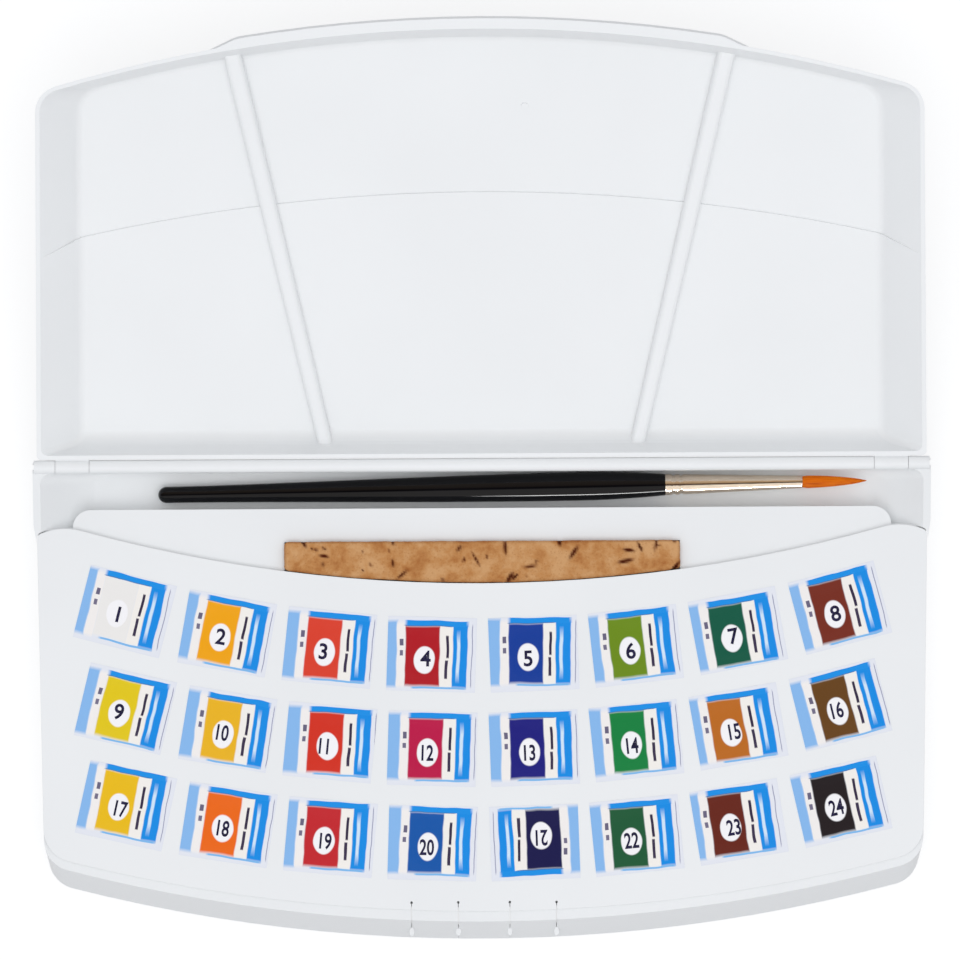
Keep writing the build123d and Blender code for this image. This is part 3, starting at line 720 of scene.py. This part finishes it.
@dataclass
class Mouldings:
    """The moulded shells, as copies with eased edges, and the steel hinge pins."""

    merge_distance: float = 0.002
    flat_angle: float = 0.5
    edge_ease: float = 0.24
    ease_segments: int = 2
    sharp_angle: float = 24.0
    slit_places: tuple[float, ...] = (-16.3, -5.8, 5.8, 16.3)
    slit_zone: float = 0.45
    pieces: tuple[tuple[str, str, str], ...] = (
        ("base_shell", "moulded_base", "base"),
        ("lid_shell", "moulded_lid", "lid"),
        ("pan_tray", "moulded_tray", "tray"),
    )

    def build(self, frame: dict[str, Any]) -> None:
        """Build the shells and pins.
        """
        plastic = MouldedPlastic().build()
        for node, name, body in self.pieces:
            self._shell(frame["nodes"][node], node, name, body, plastic)
        steel = SteelWire().build()
        for side in ("left", "right"):
            pin = frame["nodes"][f"hinge_pin_{side}"]
            pin.data.materials.clear()
            pin.data.materials.append(steel)

    def _shell(
        self, source: bpy.types.Object, node: str, name: str, body: str, plastic: bpy.types.Material
    ) -> None:
        """Copy one shell, merge it and ease its edges.

        Args:
            source: the CAD object.
            node: its node name.
            name: the new piece's name.
            body: the body that it rides on.
            plastic: its material.
        """
        bm = bmesh.new()
        bm.from_mesh(source.data)
        bmesh.ops.remove_doubles(bm, verts=bm.verts, dist=self.merge_distance * MM)
        flat = math.radians(self.flat_angle)
        bmesh.ops.dissolve_limit(
            bm, angle_limit=flat, verts=bm.verts, edges=bm.edges, use_dissolve_boundaries=False
        )
        smooth_by_angle(bm, self.sharp_angle)
        self._mark_eased(bm)
        piece = new_piece(bm, name, [plastic])
        ease = piece.modifiers.new("ease", "BEVEL")
        ease.width = self.edge_ease * MM
        ease.segments = self.ease_segments
        ease.limit_method = "WEIGHT"
        ease.harden_normals = True
        ease.use_clamp_overlap = True
        flats = piece.modifiers.new("flats", "WEIGHTED_NORMAL")
        flats.keep_sharp = True
        apply_modifiers(piece)
        stand_in(piece, body, node)

    def _mark_eased(self, bm: bmesh.types.BMesh) -> None:
        """Mark the sharp edges that the mould's polish rounded, all but those of the fine slits in front.

        Args:
            bm: the shell in metres.
        """
        weight = bm.edges.layers.float.new("bevel_weight_edge")
        for edge in bm.edges:
            middle = (edge.verts[0].co + edge.verts[1].co) / 2 / MM
            in_slit = middle.y < 0 and any(abs(middle.x - x) < self.slit_zone for x in self.slit_places)
            if len(edge.link_faces) == 2 and not in_slit:
                edge[weight] = float(edge.calc_face_angle(0.0) > math.radians(self.sharp_angle))


@dataclass
class WrappedPans:
    """The half pans: formed cups, each wound in its printed label, with its number in the white oval."""

    fan_centre: float = 331.95
    corner: float = 0.4
    corner_segments: int = 3
    cuts: int = 13
    level: float = 0.001
    # How far below the top the film is lifted and drawn out, as shares of the corner's radius.
    lifted_share: float = 0.6
    drawn_share: float = 0.3
    sharp_angle: float = 50.0
    end_fold: float = 0.08
    side_fold: float = 0.28
    brim: float = 0.2
    film: float = 0.1
    sag: float = 0.1
    sag_power: int = 4
    dent: float = 0.05
    dent_size: float = 5.5
    number_size: float = 4.9
    one_figure: float = 0.95
    two_figures: float = 0.68
    number_weight: float = 0.1
    number_lift: float = 0.02
    number_middle: Span = (-1.3, -1.2)
    curve_steps: int = 4
    print_shift: Span = (0.35, 0.245)
    print_turn: float = 1.1
    print_skew: float = 0.012
    # How squarely a face has to look sideways or down to be mapped as a side or as the underside.
    side_on: float = 0.8
    down_on: float = 0.5
    turned_about: tuple[int, ...] = (21,)
    paints: tuple[str, ...] = (
        "#f1efec", "#f7a800", "#e0402a", "#b5121f", "#0a3c9c", "#6e8f14", "#0a5c46", "#7a2c1c",
        "#e8cc10", "#f0b81c", "#d8301c", "#c01048", "#1a1a80", "#0c8440", "#c06c1c", "#6a4418",
        "#f0c010", "#f26a0c", "#c8242c", "#0c58ac", "#15154e", "#1c5c38", "#6a2416", "#231c20",
    )

    def build(self, frame: dict[str, Any]) -> None:
        """Build the labels and dress the cups.
        """
        materials = [PrintedLabel().build(), NumberInk().build()]
        cup = CupPlastic().build()
        for number, paint in enumerate(self.paints, start=1):
            pan = frame["nodes"][f"pan_{number:02d}"]
            pan.data.materials.clear()
            pan.data.materials.append(cup)
            self._label(number, paint, materials)

    def _label(self, number: int, paint: str, materials: list[bpy.types.Material]) -> None:
        """Build one label.

        Args:
            number: the pan's number.
            paint: the hex colour of its paint.
            materials: the label's print and its number's ink.
        """
        node = f"wrapper_{number:02d}"
        low, high = (Vector(corner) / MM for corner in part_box(node))
        middle = (low + high) / 2
        turn = math.atan2(middle.x, self.fan_centre - middle.y)
        size = self._size(high - low, turn)
        chance = Random(number)
        seed = chance.uniform(0.0, 90.0)
        bm = self._block(size, seed)
        self._map(bm, size, chance, number in self.turned_about)
        self._write_number(bm, number, size, seed)
        paint_layer = bm.verts.layers.float_color.new("paint_colour")
        for vert in bm.verts:
            vert[paint_layer] = linear(paint)
        place = Matrix.Translation(middle * MM) @ Matrix.Rotation(turn, 4, "Z") @ Matrix.Scale(MM, 4)
        bmesh.ops.transform(bm, matrix=place, verts=bm.verts)
        piece = new_piece(bm, f"wrapped_label_{number:02d}", materials)
        stand_in(piece, f"half_pan_{number:02d}", node)

    def _size(self, extent: Vector, turn: float) -> Vector:
        """Size of a label before it was turned.

        Args:
            extent: the size of its box as it lies.
            turn: its turn in radians.

        Returns:
            Its length, width and height, with the folds of the film round them.
        """
        side = abs(math.sin(turn))
        along = math.cos(turn)
        spread = along * along - side * side
        length = (extent.x * along - extent.y * side) / spread
        width = (extent.y * along - extent.x * side) / spread
        return Vector((length + 2 * self.end_fold, width + 2 * self.side_fold, extent.z))

    def _surface(self, x: float, y: float, size: Vector, seed: float) -> float:
        """How far the film lies below the label's top at a place.

        Args:
            x: place along the label.
            y: place across the label.
            size: the label's size.
            seed: a number that is different on each label.

        Returns:
            The drop in millimetres, never negative.
        """
        lengthwise = 1 - min(1.0, abs(2 * x / size.x)) ** self.sag_power
        inside = lengthwise * (1 - min(1.0, abs(2 * y / size.y)) ** self.sag_power)
        ripple = noise.noise(Vector((x, y, seed)) / self.dent_size) + 1
        return inside * self.sag + ripple * self.dent / 2

    def _block(self, size: Vector, seed: float) -> bmesh.types.BMesh:
        """Closed block of the wound label, its edges eased and its top a little dented.

        Args:
            size: the label's size.
            seed: a number that is different on each label.

        Returns:
            The shape in millimetres, centred on the origin.
        """
        bm = bmesh.new()
        bmesh.ops.create_cube(bm, size=1.0)
        bmesh.ops.scale(bm, vec=size, verts=bm.verts)
        bmesh.ops.bevel(
            bm, geom=list(bm.edges), offset=self.corner, segments=self.corner_segments, profile=0.5,
            affect="EDGES", material=-1,
        )
        for vert in bm.verts:
            self._flange(vert, size)
        top = max(vert.co.z for vert in bm.verts)
        lids = [face for face in bm.faces if all(vert.co.z > top - self.level for vert in face.verts)]
        rims = {edge for face in lids for edge in face.edges}
        bmesh.ops.subdivide_edges(bm, edges=list(rims), cuts=self.cuts, use_grid_fill=True)
        for vert in bm.verts:
            if vert.co.z > top - self.level:
                vert.co.z -= self._surface(vert.co.x, vert.co.y, size, seed)
        smooth_by_angle(bm, self.sharp_angle)
        return bm

    def _flange(self, vert: bmesh.types.BMVert, size: Vector) -> None:
        """Lift the label's top a little and draw its rim out to a thin brim of film over the well's edge.

        Args:
            vert: a vertex of the eased block.
            size: the label's size.
        """
        drop = size.z / 2 - vert.co.z
        if drop < self.corner * self.lifted_share:
            vert.co.z += self.film
        if drop < self.corner * self.drawn_share:
            inset = self.corner - math.sqrt(self.corner**2 - (self.corner - drop) ** 2)
            vert.co.x *= (size.x / 2 + self.brim) / (size.x / 2 - inset)
            vert.co.y *= (size.y / 2 + self.brim) / (size.y / 2 - inset)

    def _map(self, bm: bmesh.types.BMesh, size: Vector, chance: Random, about: bool) -> None:
        """Unroll the label over top and ends, shifted and turned a little as it was wound.

        Args:
            bm: the label.
            size: its size.
            chance: the label's own random numbers.
            about: whether the label lies the other way round.
        """
        layer = bm.loops.layers.uv.new("label")
        sheet = PrintedLabel.sheet
        shift = Vector([chance.gauss(0, spread) for spread in self.print_shift])
        turn = Matrix.Rotation(math.radians(chance.gauss(0, self.print_turn)), 2)
        skew = chance.gauss(0, self.print_skew)
        way = -1.0 if about else 1.0
        for face in bm.faces:
            normal = face.normal
            for loop in face.loops:
                spot = loop.vert.co
                along, across = spot.x, spot.y
                if abs(normal.x) > self.side_on:
                    along = math.copysign(size.x / 2 + size.z / 2 - spot.z, spot.x)
                if abs(normal.y) > self.side_on:
                    across = math.copysign(size.y / 2 + size.z / 2 - spot.z, spot.y)
                if normal.z < -self.down_on:
                    across = sheet / 3
                unrolled = turn @ Vector((along + across * skew, across)) + shift
                loop[layer].uv = unrolled * way / sheet + Vector((0.5, 0.5))

    def _write_number(self, bm: bmesh.types.BMesh, number: int, size: Vector, seed: float) -> None:
        """Lay the pan's number on the film.

        Args:
            bm: the label.
            number: the number.
            size: the label's size.
            seed: a number that is different on each label.
        """
        text = bpy.data.curves.new(f"figures_{number:02d}", "FONT")
        text.body = str(number)
        text.size = self.number_size
        text.offset = self.number_weight
        text.align_x = text.align_y = "CENTER"
        text.resolution_u = self.curve_steps
        writer = bpy.data.objects.new(text.name, text)
        bpy.context.scene.collection.objects.link(writer)
        graph = bpy.context.evaluated_depsgraph_get()
        figures = bpy.data.meshes.new_from_object(writer.evaluated_get(graph))
        bpy.data.objects.remove(writer)
        bpy.data.curves.remove(text)
        known = len(bm.verts)
        known_faces = len(bm.faces)
        bm.from_mesh(figures)
        bpy.data.meshes.remove(figures)
        bm.verts.ensure_lookup_table()
        bm.faces.ensure_lookup_table()
        way = -1.0 if number in self.turned_about else 1.0
        narrow = self.one_figure if number < 10 else self.two_figures
        for vert in bm.verts[known:]:
            x = (vert.co.x * narrow + self.number_middle[0]) * way
            y = (vert.co.y + self.number_middle[1]) * way
            drop = self._surface(x, y, size, seed)
            vert.co = (x, y, size.z / 2 + self.film - drop + self.number_lift)
        for face in bm.faces[known_faces:]:
            face.material_index = 1


@dataclass(frozen=True)
class Pit:
    """One pit or crack in the sponge's top, with its half length and half width, and its turn in radians."""

    middle: Vector
    half: Span
    turn: float
    depth: float

    def depth_at(self, spot: Vector) -> float:
        """Depth of the pit at a spot.

        Args:
            spot: a place on the top.

        Returns:
            The depth in millimetres.
        """
        away = Matrix.Rotation(-self.turn, 2) @ (spot - self.middle)
        share = math.hypot(away.x / self.half[0], away.y / self.half[1])
        return self.depth * smoothstep(1 - share)


@dataclass
class SpongeStrip:
    """Strip of sponge in its pocket, cut to the tray's curve, its top open with pits and short cracks."""

    bow_radius: float = 337.0
    fill: float = 0.9
    swelling: float = 0.3
    brim: float = 0.25
    brim_height: float = 1.5
    cell: float = 0.42
    corner: float = 1.2
    corner_segments: int = 3
    sharp_angle: float = 70.0
    crumb: float = 0.16
    crumb_size: float = 0.9
    swell: float = 0.25
    swell_size: float = 6.0
    pit_count: int = 16
    # Least and most half length, half width and depth.
    pit_spans: tuple[Span, Span, Span] = ((0.35, 0.95), (0.3, 0.6), (0.35, 0.9))
    crack_count: int = 17
    crack_spans: tuple[Span, Span, Span] = ((1.2, 3.0), (0.36, 0.66), (0.6, 1.2))
    # How far a pit's turn strays from square across the strip, in radians.
    turn_spread: float = 0.7
    pit_margin: float = 1.0
    open_height: float = 1.2
    # Painted shade: full in a pit at this depth, over this height at the foot, and over this width round the
    # top's edges at this strength.
    dark_depth: float = 0.5
    foot_height: float = 1.0
    rim_width: float = 0.7
    rim_tone: float = 0.45
    seed: int = 11

    def build(self) -> None:
        """Build the sponge."""
        low, high = (Vector(corner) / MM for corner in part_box("sponge"))
        low -= Vector((self.swelling, self.swelling, 0.0))
        high += Vector((self.swelling, self.swelling, 0.0))
        bm = bmesh.new()
        bmesh.ops.create_cube(bm, size=1.0)
        bmesh.ops.scale(bm, vec=high - low, verts=bm.verts)
        bmesh.ops.translate(bm, vec=(low + high) / 2, verts=bm.verts)
        upright = [edge for edge in bm.edges if edge.verts[0].co.to_2d() == edge.verts[1].co.to_2d()]
        bmesh.ops.bevel(
            bm, geom=upright, offset=self.corner, segments=self.corner_segments, profile=0.5,
            affect="EDGES", material=-1,
        )
        for axis in range(3):
            self._slice(bm, axis, low[axis], high[axis])
        for vert in bm.verts:
            share = (high.y - vert.co.y) / (high.y - low.y)
            over = self.brim * smoothstep((vert.co.z - high.z + self.brim_height) / self.swelling)
            bow = self._bow(vert.co.x)
            vert.co.x *= 1 + over / high.x
            vert.co.y += bow * share + over * (1 - share)
        self._weather(bm, low, high)
        smooth_by_angle(bm, self.sharp_angle)
        bmesh.ops.scale(bm, vec=(MM, MM, MM), verts=bm.verts)
        piece = new_piece(bm, "sponge_strip", [DrySponge().build()])
        stand_in(piece, "sponge", "sponge")

    def _bow(self, x: float) -> float:
        """How far the front edge, cut to the tray's curve, lies back from its middle.

        Args:
            x: the place along the sponge.

        Returns:
            The distance in millimetres.
        """
        return self.bow_radius - math.sqrt(self.bow_radius**2 - x**2)

    def _slice(self, bm: bmesh.types.BMesh, axis: int, start: float, end: float) -> None:
        """Cut the block into thin slices one cell apart.

        Args:
            bm: the block.
            axis: 0, 1 or 2 for the axis across the slices.
            start: where the first slice starts.
            end: where the last slice ends.
        """
        normal = Matrix.Identity(3)[axis]
        count = round((end - start) / self.cell)
        for step in range(1, count):
            level = start + (end - start) * step / count
            bmesh.ops.bisect_plane(
                bm, geom=[*bm.verts, *bm.edges, *bm.faces], plane_co=normal * level, plane_no=normal
            )

    def _pits(self, low: Vector, high: Vector) -> list[Pit]:
        """Scatter pits and cracks over the top.

        Args:
            low: the lowest corner.
            high: the highest corner.

        Returns:
            The pits.
        """
        chance = Random(self.seed)
        pits = []
        for number in range(self.pit_count + self.crack_count):
            x = chance.uniform(low.x + self.pit_margin, high.x - self.pit_margin)
            y = chance.uniform(low.y + self._bow(x), high.y)
            spans = self.pit_spans if number < self.pit_count else self.crack_spans
            length, width, depth = [chance.uniform(*span) for span in spans]
            turn = chance.gauss(math.pi / 2, self.turn_spread)
            pits.append(Pit(Vector((x, y)), (length, width), turn, depth))
        return pits

    def _weather(self, bm: bmesh.types.BMesh, low: Vector, high: Vector) -> None:
        """Roughen the block and open its pits, and mark painted shade for the finish in the pits, at the
        foot and round the top's edges.

        Args:
            bm: the block.
            low: its lowest corner.
            high: its highest corner.
        """
        pits = self._pits(low, high)
        reach = max(pit.half[0] for pit in pits)
        mark = bm.verts.layers.float.new("pit")
        bm.normal_update()
        moves = []
        for vert in bm.verts:
            spot = vert.co.to_2d()
            near = [pit for pit in pits if abs(pit.middle.x - spot.x) < reach]
            depth = max((pit.depth_at(spot) for pit in near), default=0.0)
            height = smoothstep((vert.co.z - high.z) / self.open_height + 1)
            swell = noise.noise(vert.co / self.swell_size) * self.swell
            crumb = noise.noise(vert.co / self.crumb_size) * self.crumb
            sink = (self.swell + self.crumb) / 2 - swell / 2 - crumb / 2
            foot = smoothstep((low.z - vert.co.z) / self.foot_height + 1)
            front = low.y + self._bow(spot.x)
            inward = min(spot.y - front, (high.y - spot.y) * 2, (high.x - abs(spot.x)) * 2)
            rim = self.rim_tone * smoothstep(1 - inward / self.rim_width)
            # The mark paints shade: in the pits by their depth, at the foot and round the top's edges.
            vert[mark] = min(1.0, depth * height / self.dark_depth + foot + rim)
            moves.append((vert, sink * (1 - foot) + depth * height))
        for vert, sink in moves:
            vert.co -= vert.normal * sink


@dataclass
class Brush:
    """Round brush: lacquered handle, crimped ferrule and pointed hair, with a strip lamp of its own."""

    end: Place = (-72.9, 46.35, 11.0)
    tip: Span = (86.7, 48.75)
    end_radius: float = 1.85
    belly_radius: float = 3.2
    belly_at: float = 95.0
    swell_start: float = 0.25
    swell_full: float = 0.65
    neck_radius: float = 2.4
    handle_length: float = 114.2
    ferrule_length: float = 30.9
    mouth_radius: float = 1.42
    ferrule_wall: float = 0.22
    # How deep the tube's edges are rounded, and over what length.
    mouth_edge: Span = (0.1, 0.25)
    crimps: Span = (1.9, 3.6)
    crimp_width: float = 1.2
    crimp_depth: float = 0.28
    dome_steps: int = 8
    swell_steps: int = 40
    neck_steps: int = 14
    ferrule_steps: int = 139
    turn_steps: int = 56
    merge_distance: float = 0.001
    sharp_angle: float = 40.0
    hair_length: float = 14.5
    hair_radius: float = 1.42
    hair_count: int = 460
    hair_rings: int = 9
    hair_sides: int = 4
    hair_thickness: float = 0.085
    hair_thinning: float = 0.8
    hair_shortening: float = 0.2
    hair_root: float = 0.5
    hair_packing: float = 0.96
    # The hair leaves the mouth gathered to this share, and opens from a little inside it over a short way.
    hair_gathered: float = 0.84
    hair_opening: Span = (0.3, 1.5)
    # A higher first power keeps the tuft full for longer, and a lower second one makes its point blunter.
    point_powers: Span = (1.9, 0.75)
    seed: int = 5
    strip_place: Place = (0.0, -1500.0, 500.0)
    strip_size: Span = (1800.0, 150.0)
    strip_power: float = 32.0

    def build(self) -> None:
        """Build the three parts of the brush and hang its lamp."""
        lacquer = BlackLacquer().build()
        nickel = NickelTube().build()
        self._turned("lacquered_handle", "brush_handle", self._handle(), lacquer)
        self._turned("nickel_ferrule", "brush_ferrule", self._ferrule(), nickel)
        self._hair()
        self._strip()

    def _strip(self) -> None:
        """Hang a strip low in front that only the gloss of the brush picks up, as a thin line along it."""
        strip = hang_lamp("strip", self.strip_place, self.strip_power, "RECTANGLE")
        strip.data.size = self.strip_size[0] * MM
        strip.data.size_y = self.strip_size[1] * MM
        strip.visible_diffuse = False
        lit = bpy.data.collections.new("lit_by_strip")
        for name in ("lacquered_handle", "nickel_ferrule", "hair_tuft"):
            lit.objects.link(bpy.data.objects[name])
        strip.light_linking.receiver_collection = lit

    def _place(self) -> Matrix:
        """Matrix from the brush's own frame, in millimetres along X from the handle's end, to the box's.

        Returns:
            The matrix.
        """
        start = Vector(self.end)
        run = self.tip[0] - self.end[0]
        rise = (self.belly_radius - self.end_radius) / self.belly_at
        way = Vector((run, self.tip[1] - self.end[1], run * rise)).normalized()
        turn = way.to_track_quat("X", "Z").to_matrix().to_4x4()
        return Matrix.Translation(start * MM) @ turn @ Matrix.Scale(MM, 4)

    def _bezier(self, corners: list[Span], steps: int) -> list[Span]:
        """Points of a Bezier curve.

        Args:
            corners: its control points.
            steps: the number of spans.

        Returns:
            Its points without the first.
        """
        points = []
        for step in range(1, steps + 1):
            layer = [Vector(corner) for corner in corners]
            while len(layer) > 1:
                layer = [a.lerp(b, step / steps) for a, b in zip(layer, layer[1:])]
            points.append((layer[0].x, layer[0].y))
        return points

    def _handle(self) -> list[Span]:
        """Profile of the handle from its round end to its shoulder.

        Returns:
            Places along the brush with their radii.
        """
        turns = [step / self.dome_steps * math.pi / 2 for step in range(self.dome_steps + 1)]
        dome = [(self.end_radius * (1 - math.cos(turn)), self.end_radius * math.sin(turn)) for turn in turns]
        rising = (self.belly_at * self.swell_start, self.end_radius)
        filling = (self.belly_at * self.swell_full, self.belly_radius)
        belly = (self.belly_at, self.belly_radius)
        swell = self._bezier([(self.end_radius, self.end_radius), rising, filling, belly], self.swell_steps)
        middle = ((self.belly_at + self.handle_length) / 2, self.belly_radius)
        shoulder = (self.handle_length, self.neck_radius)
        neck = self._bezier([belly, middle, shoulder], self.neck_steps)
        return [*dome, *swell, *neck, (self.handle_length, 0.0)]

    def _ferrule(self) -> list[Span]:
        """Profile of the ferrule: two crimps and a long taper to its mouth, with its edges rounded.

        Returns:
            Places along the brush with their radii, round the tube's wall.
        """
        slope = (self.neck_radius - self.mouth_radius) / self.ferrule_length
        rounding, reach = self.mouth_edge
        points = []
        for step in range(self.ferrule_steps + 1):
            along = self.ferrule_length * step / self.ferrule_steps
            radius = self.neck_radius - slope * along
            for crimp in self.crimps:
                near = 1 - abs(along - crimp) / (self.crimp_width / 2)
                radius -= self.crimp_depth * smoothstep(near)
            edge = min(along, self.ferrule_length - along)
            radius -= rounding * smoothstep(1 - edge / reach)
            points.append((self.handle_length + along, radius))
        mouth = self.handle_length + self.ferrule_length
        bore = self.mouth_radius - self.ferrule_wall
        return [*points, (mouth, bore), (self.handle_length, bore), points[0]]

    def _turned(
        self, name: str, node: str, profile: list[Span], material: bpy.types.Material
    ) -> None:
        """Spin a profile round the brush's axis.

        Args:
            name: the piece's name.
            node: the CAD node that it stands for.
            profile: places along the axis with their radii.
            material: the finish.
        """
        bm = bmesh.new()
        verts = [bm.verts.new((along, 0.0, radius)) for along, radius in profile]
        edges = [bm.edges.new(pair) for pair in zip(verts, verts[1:])]
        bmesh.ops.spin(
            bm, geom=[*verts, *edges], cent=(0, 0, 0), axis=(1, 0, 0), angle=math.tau,
            steps=self.turn_steps, use_merge=True,
        )
        bmesh.ops.remove_doubles(bm, verts=bm.verts, dist=self.merge_distance)
        bmesh.ops.recalc_face_normals(bm, faces=bm.faces)
        smooth_by_angle(bm, self.sharp_angle)
        bmesh.ops.transform(bm, matrix=self._place(), verts=bm.verts)
        piece = new_piece(bm, name, [material])
        stand_in(piece, "brush", node)

    def _hair_reach(self, along: float) -> float:
        """Outer radius of the hair at a distance past the ferrule's mouth.

        Args:
            along: the distance.

        Returns:
            The radius.
        """
        share = min(1.0, max(0.0, along / self.hair_length))
        early, spread = self.hair_opening
        opening = self.hair_gathered + (1 - self.hair_gathered) * smoothstep((along + early) / spread)
        fullness, bluntness = self.point_powers
        return self.hair_radius * opening * (1 - share**fullness) ** bluntness

    def _hair(self) -> None:
        """Grow the hair: tapered filaments that all lean in to one point."""
        template = self._filament()
        chance = Random(self.seed)
        golden_turn = math.pi * (3 - math.sqrt(5))
        bm = bmesh.new()
        for number in range(self.hair_count):
            share = math.sqrt((number + 0.5) / self.hair_count)
            turn = number * golden_turn
            length = self.hair_length * (1 - self.hair_shortening * chance.random() * share)
            known = len(bm.verts)
            bm.from_mesh(template)
            bm.verts.ensure_lookup_table()
            for vert in bm.verts[known:]:
                along = vert.co.x * (length + self.hair_root) - self.hair_root
                reach = self._hair_reach(along) * share * self.hair_packing
                thin = self.hair_thickness * (1 - self.hair_thinning * max(0.0, vert.co.x) ** 2)
                vert.co = (
                    along,
                    reach * math.cos(turn) + vert.co.y * thin,
                    reach * math.sin(turn) + vert.co.z * thin,
                )
        bpy.data.meshes.remove(template)
        for face in bm.faces:
            face.smooth = True
        start = Matrix.Translation((self.handle_length + self.ferrule_length, 0.0, 0.0))
        bmesh.ops.transform(bm, matrix=self._place() @ start, verts=bm.verts)
        piece = new_piece(bm, "hair_tuft", [SyntheticHair().build()])
        stand_in(piece, "brush", "brush_tuft")

    def _filament(self) -> bpy.types.Mesh:
        """One straight filament of unit length and thickness along X, as a template.

        Returns:
            The mesh.
        """
        bm = bmesh.new()
        ring = bmesh.ops.create_circle(bm, segments=self.hair_sides, radius=1.0, cap_ends=True)["verts"]
        bmesh.ops.rotate(bm, cent=(0, 0, 0), matrix=Matrix.Rotation(math.pi / 2, 3, "Y"), verts=ring)
        rim = list(bm.edges)
        for _ in range(self.hair_rings):
            grown = bmesh.ops.extrude_edge_only(bm, edges=rim)["geom"]
            moved = [item for item in grown if isinstance(item, bmesh.types.BMVert)]
            bmesh.ops.translate(bm, vec=(1 / self.hair_rings, 0, 0), verts=moved)
            rim = [item for item in grown if isinstance(item, bmesh.types.BMEdge)]
        bmesh.ops.contextual_create(bm, geom=rim)
        bmesh.ops.recalc_face_normals(bm, faces=bm.faces)
        template = bpy.data.meshes.new("filament")
        bm.to_mesh(template)
        bm.free()
        return template


def main() -> None:
    """Build the looks of the paint box around the frame."""
    logging.basicConfig(level=logging.INFO, format="%(name)s: %(message)s")
    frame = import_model()
    bpy.context.scene.view_settings.view_transform = "Standard"
    Studio().build()
    Mouldings().build(frame)
    WrappedPans().build(frame)
    SpongeStrip().build()
    Brush().build()


if __name__ == "__main__":
    main()
